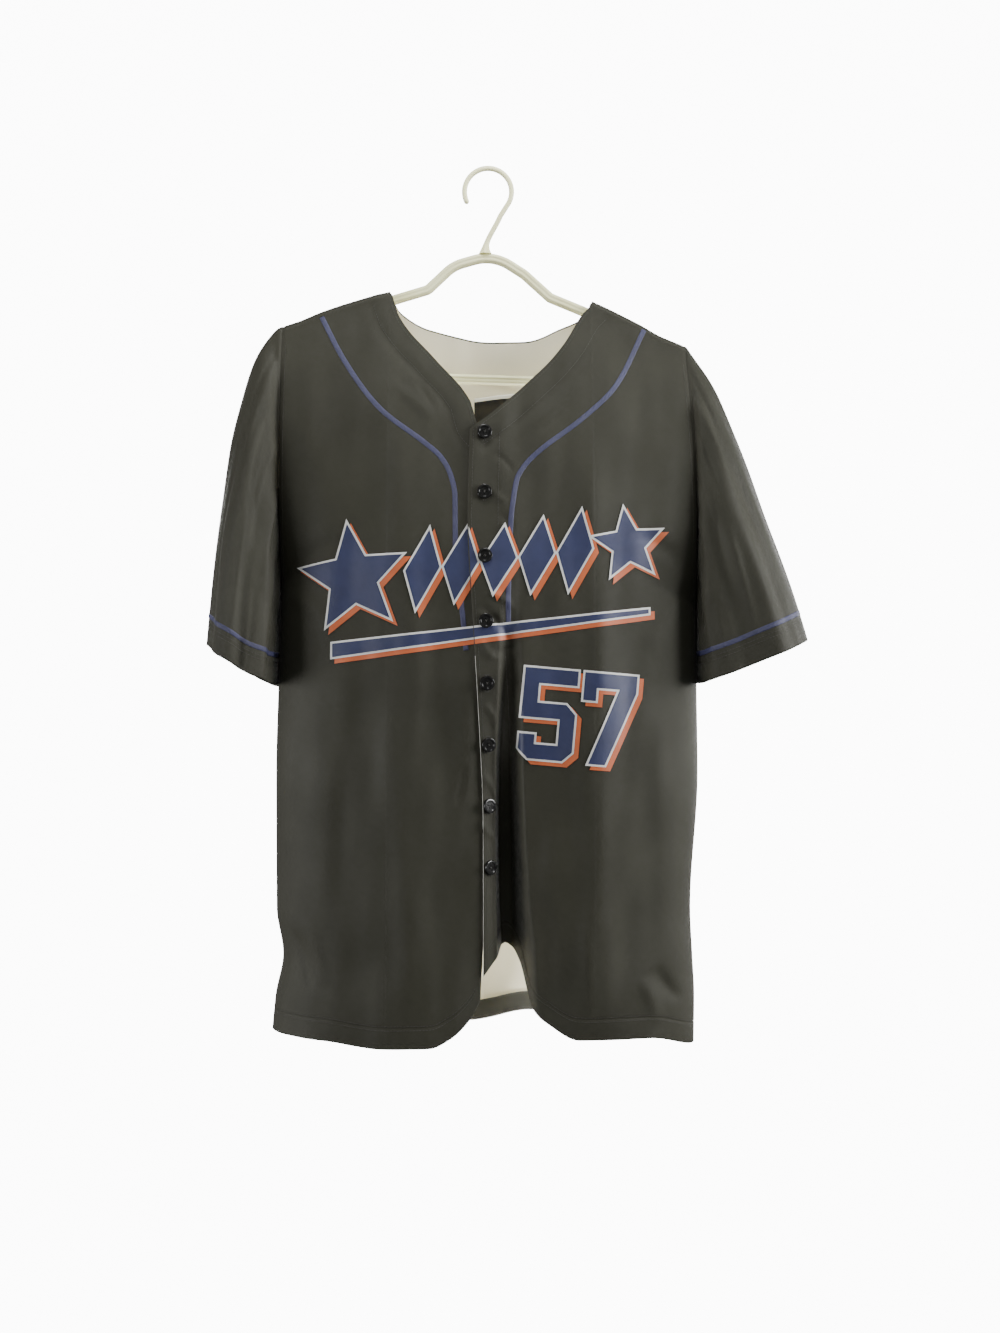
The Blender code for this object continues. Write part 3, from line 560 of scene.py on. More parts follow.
def clothPiece(name, outer, inner, uv, materials, ring=False, bulge=(), insideDark=None, rims=()):
    # a closed wall between two grids; free edges named in bulge are rounded, rims names their material
    rows, columns = outer.shape[:2]
    size = rows * columns
    last = columns if ring else columns - 1
    r, c = np.mgrid[0:rows - 1, 0:last]
    r, c = r.ravel(), c.ravel()
    corners = ((r, c), (r, c + 1), (r + 1, c + 1), (r + 1, c))
    quads = np.stack([row * columns + column % columns for row, column in corners], axis=1)
    quadUv = np.stack([uv[row, column] for row, column in corners], axis=1)
    faces = quads.tolist() + (quads[:, ::-1] + size).tolist()
    cornerUv = [quadUv.reshape(-1, 2), quadUv[:, ::-1].reshape(-1, 2)]
    inside = np.ones(len(quads), int)
    if insideDark is not None:
        inside[insideDark(r, c)] = 0
    slots = [np.zeros(len(quads), int), inside]

    if ring:
        loops = [("top", [(0, column) for column in range(columns + 1)]),
                 ("bottom", [(rows - 1, column) for column in range(columns + 1)])]
    else:
        around = [("top", (0, column)) for column in range(columns - 1)]
        around += [("end", (row, columns - 1)) for row in range(rows - 1)]
        around += [("bottom", (rows - 1, column)) for column in range(columns - 1, 0, -1)]
        around += [("start", (row, 0)) for row in range(rows - 1, 0, -1)]
        loops = [(None, around + around[:1])]
    vertices = [outer.reshape(-1, 3), inner.reshape(-1, 3)]
    inwardStep = {"top": (1, 0), "bottom": (-1, 0), "start": (0, 1), "end": (0, -1)}
    for edgeName, loop in loops:
        sides = [side for side, _ in loop] if edgeName is None else [edgeName] * len(loop)
        places = [place for _, place in loop] if edgeName is None else loop
        count = len(places) - 1
        middle = []
        for k in range(count):
            row, column = places[k][0], places[k][1] % columns
            before = sides[k - 1] if k else sides[count - 1]
            push = np.zeros(3)
            for side in {sides[k], before}:
                if side in bulge:
                    stepRow, stepColumn = inwardStep[side]
                    push += unit(outer[row, column] - outer[row + stepRow, column + stepColumn])
            centre = (outer[row, column] + inner[row, column]) / 2
            middle.append(centre + push * cloth["edgeBulge"] * cloth["wall"])
        base = sum(len(part) for part in vertices)
        vertices.append(np.array(middle))
        for k in range(count):
            (row0, column0), (row1, column1) = places[k], places[k + 1]
            a = row0 * columns + column0 % columns
            b = row1 * columns + column1 % columns
            m, n = base + k, base + (k + 1) % count
            faces += [[a, b, n, m], [m, n, b + size, a + size]]
            pair = [uv[row0, column0], uv[row1, column1], uv[row1, column1], uv[row0, column0]]
            cornerUv += [np.array(pair), np.array(pair)]
            rim = dict(rims).get(sides[k])
            slots.append(np.full(2, rim(row0, column0) if rim else 0))
    return newPiece(name, np.concatenate(vertices), faces, np.concatenate(cornerUv), np.concatenate(slots),
                    materials)


def bodyPanel(name, surface, spans, neck, hem, side, face, seams, bulge, rims, materials, facing=None):
    x, drop = panelGrid(spans, topEdge(neck), hemEdge(hem), side)
    outer = surface(x, drop)
    toFront = -1 if face == "front" else 1
    out = gridNormals(outer, np.array([0, toFront, 0]))
    across, down = arcLengths(outer, 1), arcLengths(outer, 0)
    sink = np.zeros(x.shape)
    edge = lambda distance, width: np.exp(-(distance / width) ** 2)
    if "start" in seams:
        sink += cloth["seamSink"] * edge(across, cloth["seamSinkWidth"])
    if "end" in seams:
        sink += cloth["seamSink"] * edge(across[:, -1:] - across, cloth["seamSinkWidth"])
    left, right = body["neckEnds"]
    onShoulder = (x[:1] < left) | (x[:1] > right)
    sink += cloth["seamSink"] * edge(down, cloth["seamSinkWidth"]) * onShoulder
    sink += cloth["hemSink"] * edge(hemEdge(hem)(x) - drop - cloth["hem"], cloth["hemSinkWidth"])
    if facing is not None:
        line = np.stack(facing, axis=-1)
        apart = (x[..., None] - line[:, 0]) ** 2 + (drop[..., None] - line[:, 1]) ** 2
        away = np.sqrt(np.min(apart, axis=-1))
        sink += cloth["facingSink"] * edge(away, cloth["facingWidth"])
    outer = outer - out * sink[..., None]
    inner = outer - cloth["wall"] * out
    for points in (outer, inner):
        points[..., 1] = toFront * np.maximum(toFront * points[..., 1], 0)
    rowCount = len(x)
    inNeck = (x[0] > left) & (x[0] < right)

    def insideDark(row, column):    # the turned-up hem shows the cloth's outside, and so does the neck's edge
        return (row >= rowCount - 1 - density["turnedRows"]) | ((row < density["neckRows"]) & inNeck[column])

    uv = np.stack([across + x[:, :1], -down + outer[:1, :, 2]], axis=-1)
    made = clothPiece(name, outer, inner, uv, materials, bulge=bulge, insideDark=insideDark, rims=rims)
    columns = outer.shape[1]
    r, c = np.mgrid[0:rowCount - 1, 0:columns - 1]
    first, below = r * columns + c, (r + 1) * columns + c
    quads = np.stack([first, first + 1, below + 1, below], axis=-1)
    tree = BVHTree.FromPolygons(outer.reshape(-1, 3).tolist(), quads.reshape(-1, 4).tolist())
    return {"piece": made, "x": x, "drop": drop, "outer": outer, "inner": inner, "out": out, "tree": tree,
            "toFront": toFront}


# Sleeves
sleeveCut = {
    "fullness": 0.62,           # below 1 the cuff is rounder beside the body
    "swell": 0.012,             # how far the middle stands forward and back of a straight line
    "girth": 0.24,              # from the upper line to the underarm, for laying out creases
    "reach": 0.27,              # from armhole to cuff
    "rows": 84,
    "allowance": 0.004,
    "troughAt": 0.012, "troughWidth": 0.011, "troughShare": 0.15,   # a soft trough beside the armhole
    "cuffRows": (0.0360, 0.0330, 0.0290, 0.0262, 0.0236, 0.0218, 0.0208, 0.0199, 0.0190, 0.0178, 0.0150,
                 0.0120, 0.0090, 0.0060, 0.0034, 0.0014, 0.0),
    "stripe": (0.0315, 0.0312, 0.0306, 0.0299, 0.0290, 0.0281, 0.0274, 0.0268, 0.0265),
    "stripeCrown": (0.12, 0.55, 0.86, 0.97, 0.90, 0.97, 0.86, 0.55, 0.12),
    "foldFadeIn": 0.4,
    "foldFadeOut": 0.3,
    "sides": {
        "right": dict(side="left", outer=(-0.276, 0.472), inner=(-0.2100, 0.513), halfDepth=0.076,
                      arch=(-0.0150, -0.139), backDrop=0.013, phase=2.2),
        "left": dict(side="right", outer=(0.316, 0.469), inner=(0.2091, 0.512), halfDepth=0.062,
                     arch=(-0.0185, -0.1055), backDrop=0.002, phase=5.1)},
    "folds": table(             # at: 0 is the upper line, 1 the underarm, minus is the back
        "at start end halfWidth depth",
        (0.36, 0.15, 1.4, 0.07, -0.0045),
        (0.56, 0.10, 1.4, 0.07, 0.0045),
        (0.76, 0.20, 1.2, 0.06, -0.0035),
        (-0.30, 0.15, 1.4, 0.08, -0.0045),
        (-0.52, 0.10, 1.4, 0.08, 0.0050),
        (-0.74, 0.20, 1.2, 0.06, -0.0035)),
    "creases": table(           # along: 0 is the armhole, 1 the cuff
        "at0 along0 at1 along1 halfWidth rise",
        (0.12, 0.02, 0.22, 0.34, 0.0060, -0.0012),
        (0.22, 0.02, 0.30, 0.42, 0.0070, 0.0014),
        (0.34, 0.02, 0.43, 0.46, 0.0060, -0.0013),
        (0.48, 0.03, 0.52, 0.40, 0.0060, 0.0012),
        (0.66, 0.04, 0.70, 0.62, 0.0070, 0.0016),
        (0.86, 0.05, 0.84, 0.60, 0.0070, -0.0018),
        (0.93, 0.10, 0.90, 0.90, 0.0060, 0.0014),
        (0.45, 0.50, 0.48, 0.96, 0.0060, 0.0012),
        (0.24, 0.46, 0.27, 0.98, 0.0070, -0.0012),
        (0.65, 0.64, 0.64, 1.00, 0.0060, -0.0012),
        (-0.14, 0.02, -0.24, 0.40, 0.0070, -0.0014),
        (-0.34, 0.02, -0.42, 0.52, 0.0070, 0.0014),
        (-0.60, 0.04, -0.62, 0.62, 0.0070, 0.0015),
        (-0.84, 0.05, -0.83, 0.66, 0.0070, -0.0016),
        (-0.22, 0.48, -0.20, 0.98, 0.0070, 0.0012),
        (-0.50, 0.58, -0.46, 1.00, 0.0060, -0.0012)),
}


def sideTop(side):      # drop of the shoulder seam's outer end
    return float(ridgeLine(lookUp(body["sides"], side, body["sides"]["drop"][0])))


def armholeRing(cut):
    steps = armholeSteps()
    drop = sideTop(cut["side"]) + steps
    seamX = lookUp(body["sides"], cut["side"], drop)
    wide = armholeShare(steps)
    front = np.stack([seamX, -halfDepth(steps, "front") * wide, -drop], axis=-1)
    back = np.stack([seamX, halfDepth(steps, "back") * wide, -drop], axis=-1)
    reach = np.concatenate([[0], np.cumsum(np.linalg.norm(np.diff(front, axis=0), axis=1))])
    share = reach / reach[-1]
    return np.concatenate([front, back[-2:0:-1]]), np.concatenate([share, -share[-2:0:-1]])


def sleevePoints(cut, fromCuff, upperRows=0):
    # rows from the armhole, then rows at exact distances from the cuff; columns run round the sleeve
    sign = -1 if cut["side"] == "left" else 1
    start, around = armholeRing(cut)
    (outerX, outerDrop), (innerX, innerDrop) = cut["outer"], cut["inner"]
    topShare = (1 + np.cos(math.pi * around)) / 2
    depth = -np.sin(math.pi * around)
    cuffDrop = innerDrop + (outerDrop - innerDrop) * topShare + cut["backDrop"] * np.maximum(depth, 0)
    cuffX = innerX + (outerX - innerX) * topShare
    full = np.sign(depth) * np.abs(depth) ** sleeveCut["fullness"]
    cuff = np.stack([cuffX, full * cut["halfDepth"], -cuffDrop], axis=-1)
    pull = (start + cuff) / 2
    pull[:, 0] += cut["arch"][0] * topShare
    pull[:, 1] += sleeveCut["swell"] * depth
    pull[:, 2] -= cut["arch"][1] * topShare

    speed = 2 * np.linalg.norm(cuff - pull, axis=1)
    along = 1 - np.array(fromCuff)[:, None] / speed
    if upperRows:
        upper = along[0] * np.linspace(0, 1, upperRows + 1)[:-1, None]
        along = np.concatenate([upper, along])
    along = along[..., None]
    points = (1 - along) ** 2 * start + 2 * along * (1 - along) * pull + along ** 2 * cuff
    middle = ((start + 2 * pull + cuff) / 4).mean(axis=0)
    along = along[..., 0]
    move = np.zeros(points.shape[:2])
    for at, first, last, width, fold in rowsOf(sleeveCut["folds"]):
        here = (easeInOut((along - first) / sleeveCut["foldFadeIn"])
                * easeInOut((last - along) / sleeveCut["foldFadeOut"]))
        move -= fold * here * np.exp(-((around - at) / width) ** 2)
    girth, reach = sleeveCut["girth"], sleeveCut["reach"]
    across, down = around * girth, along * reach
    given = sleeveCut["creases"]
    laid = {"x0": given["at0"] * girth, "drop0": given["along0"] * reach, "x1": given["at1"] * girth,
            "drop1": given["along1"] * reach, "bend": 0 * given["rise"], "halfWidth": given["halfWidth"],
            "rise": given["rise"]}
    move += creaseRise(laid, across, down)
    hold = easeInOut(along / 0.08) * easeInOut((1 - np.abs(around)) / 0.06)
    move += ripple(across, down, cut["phase"]) * hold
    move -= cloth["seamSink"] * np.exp(-(down / cloth["seamSinkWidth"]) ** 2)
    out = gridNormals(points, points - middle, ring=True)
    points = points + out * move[..., None]
    below = easeInOut((np.abs(around) - 0.05) / 0.25)
    trough = below * np.exp(-((down - sleeveCut["troughAt"]) / sleeveCut["troughWidth"]) ** 2)
    points[..., 1] *= 1 - sleeveCut["troughShare"] * trough
    out = gridNormals(clearOfBody(points, cut, sign), points - middle, ring=True)
    return points, out, sign


def clearOfBody(points, cut, sign):     # a sleeve stays on its own side of the body's side seam
    limit = lookUp(body["sides"], cut["side"], -points[..., 2])
    points[..., 0] = sign * np.maximum(sign * points[..., 0], sign * limit)
    return points


def closeRing(grid):
    return np.concatenate([grid, grid[:, :1]], axis=1)


def sleevePiece(name, cut, materials, braidMaterial):
    rows = sleeveCut["cuffRows"]
    outer, out, sign = sleevePoints(cut, rows, sleeveCut["rows"])
    hemStart = len(outer) - 1 - density["turnedRows"]
    thick = np.full(outer.shape[:2], cloth["wall"])
    thick[hemStart:] += cloth["hemThick"]
    inner = clearOfBody(outer - thick[..., None] * out, cut, sign)
    allowance = outer[:1] - out[:1] * (cloth["wall"] + cloth["seamGap"])     # turned in under the body
    allowance[..., 0] -= sign * sleeveCut["allowance"]
    shellOuter = np.concatenate([allowance, outer])
    shellInner = np.concatenate([allowance - out[:1] * cloth["wall"], inner])
    ringed = closeRing(shellOuter)
    uv = np.stack([arcLengths(ringed, 1), -arcLengths(ringed, 0)], axis=-1)
    clothPiece(name + "_sleeve_shell", shellOuter, shellInner, uv, materials, ring=True, bulge=("bottom",),
               insideDark=lambda row, column: (row > hemStart) | (row < 1))

    under, out, sign = sleevePoints(cut, sleeveCut["stripe"])
    crown = np.array(sleeveCut["stripeCrown"])[:, None, None]
    low = under + out * trim["lift"]
    high = low + out * crown * trim["thick"]
    ringed = closeRing(high)
    uv = np.stack([arcLengths(ringed, 1), -arcLengths(ringed, 0)], axis=-1)
    clothPiece(name + "_sleeve_ribbon", high, low, uv, [braidMaterial], ring=True, insideDark=everyFace)
    return {"outer": outer, "out": gridNormals(outer, outer - outer.mean(axis=(0, 1)), ring=True)}


# Lines across the cloth
def neckLine(neck, left, right, inset):     # the neckline, moved down into the cloth
    x = np.linspace(left, right, 220)
    drop = topEdge(neck)(x)
    slope = np.gradient(drop, x)
    lean = np.sqrt(1 + slope ** 2)
    return x - inset * slope / lean, drop + inset / lean


def layOn(panel, x, drop):      # points and normals of a panel's own faces, seen from the front or the back
    side = panel["toFront"]
    places, outs = [], []
    for across, down in zip(x, drop):
        place, out, _, _ = panel["tree"].ray_cast(Vector((across, side, -down)), Vector((0, -side, 0)))
        if place is not None:
            places.append(place)
            outs.append(out if out.y * side > 0 else -out)
    return np.array(places), np.array(outs)


def surfaceNormal(surface, x, drop, reach=0.0015):
    over = surface(x + reach, drop) - surface(x - reach, drop)
    down = surface(x, drop + reach) - surface(x, drop - reach)
    result = unit(np.cross(over, down))
    return result * -np.sign(result[..., 1:2])


# Trim: the blue braid, the stitches and the neck label
trim = {
    "width": 0.005,
    "lift": 0.00005,
    "thick": 0.0004,
    "crown": (0.15, 0.80, 1.0, 0.86, 1.0, 0.80, 0.15),
    "stations": 200,
    "right": table(
        "x drop",
        (-0.1655, 0.1478), (-0.1425, 0.1920), (-0.1065, 0.2420), (-0.0610, 0.2780), (-0.0463, 0.2910),
        (-0.0365, 0.3080), (-0.0316, 0.3300), (-0.0308, 0.3930), (-0.0250, 0.4365), (-0.0204, 0.4800)),
    "left": table(
        "x drop",
        (0.1555, 0.1606), (0.1255, 0.2200), (0.0941, 0.2517), (0.0489, 0.2870), (0.0363, 0.3000),
        (0.0285, 0.3140), (0.0251, 0.3326), (0.0226, 0.3540), (0.0200, 0.4374), (0.0200, 0.4560)),
}

stitch = {
    "length": 0.0025,
    "width": 0.00050,
    "height": 0.00040,
    "pitch": 0.0031,
    "neckRows": (0.0032, 0.0205),
    "hemRows": (0.0178, 0.0218),
    "placketRows": (0.0035, 0.0290),
    "placketFrom": 0.268, "placketTo": 0.745,
    "armholeRow": 0.0040,
}

label = {
    "left": -0.014, "right": 0.028, "top": 0.221, "bottom": 0.252,
    "gap": 0.0005, "thick": 0.0005, "curl": 0.0016, "tilt": 0.13,
    "border": 0.0036,
}


def frontBraid(name, path, material):
    chord = np.concatenate([[0], np.cumsum(np.hypot(np.diff(path["x"]), np.diff(path["drop"])))])
    at = np.linspace(0, chord[-1], trim["stations"] + 1)
    x, drop = smoothCurve(chord, path["x"], at), smoothCurve(chord, path["drop"], at)
    along = unit(np.stack([np.gradient(x, at), np.gradient(drop, at)], axis=-1))
    low, high, sheet = [], [], []
    offsets = np.linspace(-trim["width"] / 2, trim["width"] / 2, len(trim["crown"]))
    surface = leftFrontSurface if name.startswith("left") else rightFrontSurface
    for offset, crown in zip(offsets, trim["crown"]):
        edgeX, edgeDrop = x - offset * along[:, 1], drop + offset * along[:, 0]
        edgeDrop = np.maximum(edgeDrop, ridgeLine(edgeX) + 0.0004)
        points, out = surface(edgeX, edgeDrop), surfaceNormal(surface, edgeX, edgeDrop)
        low.append(points + out * trim["lift"])
        high.append(low[-1] + out * trim["thick"] * crown)
        sheet.append(np.stack([np.full_like(at, offset), at], axis=-1))
    low, high, uv = (np.stack(part, axis=1) for part in (low, high, sheet))
    return clothPiece(name, high, low, uv, [material], insideDark=everyFace)


def stitchMesh():       # one stitch: a small ball, stretched along the seam
    bpy.ops.mesh.primitive_ico_sphere_add(subdivisions=1, radius=0.5, location=(0, 0, 0))
    made = bpy.context.object
    made.scale = (stitch["length"], stitch["width"], stitch["height"])
    bpy.ops.object.transform_apply(scale=True)
    corners = np.array([corner.co for corner in made.data.vertices])
    faces = np.array([face.vertices for face in made.data.polygons])
    bpy.data.objects.remove(made)
    return corners, faces


def stitchRows(name, lines, oneStitch, material):       # the same stitch, copied along each line
    corners, faces = oneStitch
    vertices, polygons = [], []
    for points, outs in lines:
        if len(points) < 4:
            continue
        reach = np.concatenate([[0], np.cumsum(np.linalg.norm(np.diff(points, axis=0), axis=1))])
        keep = np.concatenate([[True], np.diff(reach) > 1e-7])
        points, outs, reach = points[keep], outs[keep], reach[keep]
        for at in np.arange(stitch["pitch"] / 2, reach[-1], stitch["pitch"]):
            place = np.array([np.interp(at, reach, points[:, k]) for k in range(3)])
            ahead = np.array([np.interp(at + 0.0008, reach, points[:, k]) for k in range(3)])
            before = np.array([np.interp(at - 0.0008, reach, points[:, k]) for k in range(3)])
            out = unit(np.array([np.interp(at, reach, outs[:, k]) for k in range(3)]))
            along = unit(ahead - before)
            aside = unit(np.cross(out, along))
            up = np.cross(along, aside)
            base = sum(len(part) for part in vertices)
            vertices.append(place + corners @ np.stack([along, aside, up]) + out * stitch["height"] * 0.2)
            polygons += (faces + base).tolist()
    mesh = bpy.data.meshes.new(name)
    mesh.from_pydata(np.concatenate(vertices).tolist(), [], polygons)
    mesh.materials.append(material)
    mesh.shade_smooth()
    return linkPiece(name, mesh)


def neckLabel(materials):
    x, drop = np.meshgrid(np.linspace(label["left"], label["right"], 30),
                          np.linspace(label["top"], label["bottom"], 24))
    inward = surfaceNormal(backSurface, x, drop)
    below = (drop - label["top"]) / (label["bottom"] - label["top"])
    drop = drop - (x - (label["left"] + label["right"]) / 2) * label["tilt"]
    away = cloth["wall"] + label["gap"] + label["curl"] * below ** 2
    back = backSurface(x, drop) + inward * away[..., None]
    front = back + inward * label["thick"]
    uv = np.stack([x - label["left"], (1 - below) * (label["bottom"] - label["top"])], axis=-1)
    return clothPiece("neck_label_woven", front, back, uv, materials, insideDark=everyFace)


# Buttons
button = {
    "radius": 0.0070, "height": 0.0028, "gap": 0.0004, "sides": 40,
    "rim": 0.0013, "dish": 0.0009, "edge": 0.0005,
    "holeRadius": 0.00062, "holeSpacing": 0.00135,
    "thread": 0.00045,
    "places": table(
        "x drop",
        (-0.0031, 0.2672), (-0.0030, 0.3267), (-0.0024, 0.3891), (-0.0014, 0.4518),
        (-0.0005, 0.5113), (0.0005, 0.5705), (0.0010, 0.6297), (0.0020, 0.6889)),
    "buttonhole": 0.0178,
}


def clearSelection():
    for other in bpy.context.selected_objects:
        other.select_set(False)


def selectFaces(made, test):
    shape = bmesh.from_edit_mesh(made.data)
    for face in shape.faces:
        face.select_set(bool(test(face)))
    shape.select_flush_mode()
    bmesh.update_edit_mesh(made.data)


def buttonModel(shell, thread):     # a turned button that faces +z, with its back at the origin
    clearSelection()
    bpy.ops.mesh.primitive_cylinder_add(vertices=button["sides"], radius=button["radius"],
                                        depth=button["height"], location=(0, 0, button["height"] / 2))
    made = bpy.context.object
    made.name = "button_model"
    bpy.ops.object.transform_apply(location=True)
    bpy.ops.object.mode_set(mode="EDIT")
    bpy.ops.mesh.select_mode(type="FACE")
    for sign in (1, -1):
        selectFaces(made, lambda face: face.normal.z * sign > 0.9)
        bpy.ops.mesh.bevel(offset=button["edge"], segments=3, affect="EDGES")
    selectFaces(made, lambda face: face.normal.z > 0.99 and len(face.verts) > 8)
    bpy.ops.mesh.inset(thickness=button["rim"])
    bpy.ops.mesh.inset(thickness=button["rim"] * 0.5)
    bpy.ops.transform.translate(value=(0, 0, -button["dish"]))
    bpy.ops.mesh.inset(thickness=button["rim"] * 0.25)
    bpy.ops.object.mode_set(mode="OBJECT")
    made.data.materials.append(shell)
    for x in (-1, 1):
        for y in (-1, 1):
            clearSelection()
            place = (x * button["holeSpacing"], y * button["holeSpacing"], button["height"] / 2)
            bpy.ops.mesh.primitive_cylinder_add(vertices=10, radius=button["holeRadius"],
                                                depth=button["height"] * 2, location=place)
            drill = bpy.context.object
            clearSelection()
            made.select_set(True)
            bpy.context.view_layer.objects.active = made
            cut = made.modifiers.new("hole", "BOOLEAN")
            cut.object = drill
            bpy.ops.object.modifier_apply(modifier=cut.name)
            bpy.data.objects.remove(drill)
    bpy.ops.object.shade_smooth_by_angle(angle=math.radians(38))
    clearSelection()
    top = button["height"] - button["dish"]
    for turn in (45, -45):      # crossed thread, sunk into the holes at both ends
        bpy.ops.mesh.primitive_uv_sphere_add(segments=8, ring_count=6, radius=0.5, location=(0, 0, top))
        strand = bpy.context.object
        strand.scale = (button["holeSpacing"] * 2.9, button["thread"], button["thread"] * 1.5)
        strand.rotation_euler = (0, 0, math.radians(turn))
        bpy.ops.object.transform_apply(location=True, rotation=True, scale=True)
        strand.data.materials.append(thread)
        strand.data.shade_smooth()
        strand.select_set(False)
        strand.name = "strand"
        strand.select_set(True)
        made.select_set(True)
        bpy.context.view_layer.objects.active = made
        bpy.ops.object.join()
        clearSelection()
    return made


def buttons(shell, thread):
    model = buttonModel(shell, thread)
    pieces = []
    for number, (x, drop) in enumerate(rowsOf(button["places"]), start=1):
        place = Vector(leftFrontSurface(np.float64(x), np.float64(drop)))
        out = Vector(surfaceNormal(leftFrontSurface, np.float64(x), np.float64(drop), 0.004))
        mesh = model.data.copy()
        turn = out.to_track_quat("Z", "Y").to_matrix().to_4x4()
        spin = Matrix.Rotation(math.radians(17 * number), 4, "Z")
        mesh.transform(Matrix.Translation(place + out * button["gap"]) @ turn @ spin)
        pieces.append(linkPiece(f"shell_button_{number}", mesh))
    bpy.data.objects.remove(model)
    return pieces


def buttonholes(panel):     # two rows of stitches, hidden by the button but for their ends
    lines = []
    for x, drop in rowsOf(button["places"]):
        for aside in (-0.0011, 0.0011):
            down = np.linspace(-button["buttonhole"] / 2, button["buttonhole"] / 2, 24)
            lines.append(layOn(panel, np.full(24, x + aside), drop + down))
    return lines


# Hanger
def rounded(corners, radii):
    path = []
    count = len(corners)
    for i, (corner, radius) in enumerate(zip(corners, radii)):
        toBefore = (corners[i - 1] - corner).normalized()
        toAfter = (corners[(i + 1) % count] - corner).normalized()
        half = toBefore.angle(toAfter) / 2
        centre = corner + (toBefore + toAfter).normalized() * radius / math.sin(half)
        start = corner + toBefore * radius / math.tan(half) - centre
        end = corner + toAfter * radius / math.tan(half) - centre
        turn = math.pi - 2 * half
        steps = max(3, round(hangerCut["turnSteps"] * turn / (2 * math.pi)))
        for step in range(steps + 1):
            share = step / steps
            blend = (start * math.sin((1 - share) * turn) + end * math.sin(share * turn)) / math.sin(turn)
            path.append(centre + blend)
    return path


def hangerPath():
    arms = hangerCut["arms"]
    feet = [Vector((x, drop)) for x, drop in zip(arms["footX"], arms["footDrop"])]
    ends = []
    for foot, slope in zip(feet, arms["slope"]):
        x = (foot[1] - slope * foot[0] - hangerCut["barDrop"]) / (hangerCut["barSlope"] - slope)
        ends.append(Vector((x, hangerCut["barDrop"] + hangerCut["barSlope"] * x)))
    arch = [Vector((x, drop)) for x, drop in zip(hangerCut["arch"]["x"], hangerCut["arch"]["drop"])]
    corners = [ends[0], feet[0], *arch, feet[1], ends[1]]
    foot = hangerCut["footRadius"]
    radii = [arms["endRadius"][0], foot, *hangerCut["arch"]["radius"], foot, arms["endRadius"][1]]
    return rounded(corners, radii)


def drawnLine(name, places, closed, radii=None):
    curve = bpy.data.curves.new(name, "CURVE")
    curve.dimensions = "3D"
    line = curve.splines.new("POLY")
    line.points.add(len(places) - 1)
    for point, place in zip(line.points, places):
        point.co = (*place, 1)
    if radii:
        line.points.foreach_set("radius", radii)
    line.use_cyclic_u = closed
    return linkPiece(name, curve)


def sweptTube(name, path, radii, closed, profile, material):    # the profile drawn along a flat path
    around = [(reach * math.sin(a), reach * math.cos(a), 0) for a, reach in profile]
    section = drawnLine(name + "_section", around, True)
    made = drawnLine(name, [(x, 0, -drop) for x, drop in path], closed, radii)
    made.data.bevel_mode = "OBJECT"
    made.data.bevel_object = section
    made.data.use_fill_caps = not closed
    clearSelection()
    made.select_set(True)
    bpy.context.view_layer.objects.active = made
    bpy.ops.object.convert(target="MESH")
    bpy.data.objects.remove(section)
    made.data.materials.clear()
    made.data.materials.append(material)
    bpy.ops.object.shade_smooth_by_angle(angle=math.radians(60))
    return made


def hanger(material):
    grooved = []
    for angle in np.linspace(0, 2 * math.pi, hangerCut["sides"], endpoint=False):
        fromFace = math.pi / 2 - abs(abs((angle + math.pi) % (2 * math.pi) - math.pi) - math.pi / 2)
        near = math.pi / 2 - fromFace
        dip = hangerCut["groove"] / hangerCut["tube"] * math.exp(-(near / hangerCut["grooveWidth"]) ** 2)
        grooved.append((angle, 1 - dip))
    path = hangerPath()
    moulding = sweptTube("hanger_moulding", path, [hangerCut["tube"]] * len(path), True, grooved, material)

    crown = min(path, key=lambda point: point[1])
    stem = hangerCut["hookStem"]
    base = crown[1] - hangerCut["tube"] - cloth["seamGap"]
    places = [(crown[0] + aside, base - rise) for aside, rise in zip(stem["aside"], stem["rise"])]
    radii = list(hangerCut["hookWire"] * stem["wireScale"])
    centreDrop = hangerCut["hookRadius"] - hangerCut["hookWire"]
    for angle in np.radians(np.linspace(*hangerCut["hookTurn"], hangerCut["hookSteps"])):
        places.append((hangerCut["hookRadius"] * math.cos(angle),
                       centreDrop - hangerCut["hookRadius"] * math.sin(angle)))
        radii.append(hangerCut["hookWire"])
    for share in (0.9, 0.7, 0.35):      # a round tip
        place, before = np.array(places[-1]), np.array(places[-2])
        step = unit(place - before) * hangerCut["hookWire"] * 0.28
        places.append(tuple(place + step))
        radii.append(hangerCut["hookWire"] * share)
    circle = [(angle, 1.0) for angle in np.linspace(0, 2 * math.pi, 20, endpoint=False)]
    return moulding, sweptTube("hanger_hook_moulding", places, radii, False, circle, material)


# Prints: a row of plain motifs that rises across the chest, and a plain number
prints = {
    "rise": math.radians(7),
    "start": (-0.130, 0.410),
    "stars": table(
        "along radius",
        (0.000, 0.053),
        (0.268, 0.035)),
    "lozenges": table(
        "along halfWidth halfHeight",
        (0.068, 0.0165, 0.037),
        (0.105, 0.0165, 0.034),
        (0.142, 0.0165, 0.031),
        (0.179, 0.0165, 0.034),
        (0.216, 0.0165, 0.037)),
    "starWaist": 0.45,
    "bar": ((-0.150, 0.480, 0.0065), (0.156, 0.442, 0.0020)),   # x, drop and half width of its ends
    "number": (5, 7),
    "numberCentre": (0.087, 0.544),
    "numberTilt": math.radians(-5),
    "digitWidth": 0.051, "digitHeight": 0.087, "digitGap": 0.0065, "stroke": 0.0140, "corner": 0.009,
    "outline": 0.0020,
    "shadow": (0.0042, 0.0040),
    "grid": 0.002,
    "orange": (0.00050, 0.00058),
    "white": (0.00072, 0.00080),
    "blue": (0.00094, 0.00104),
}


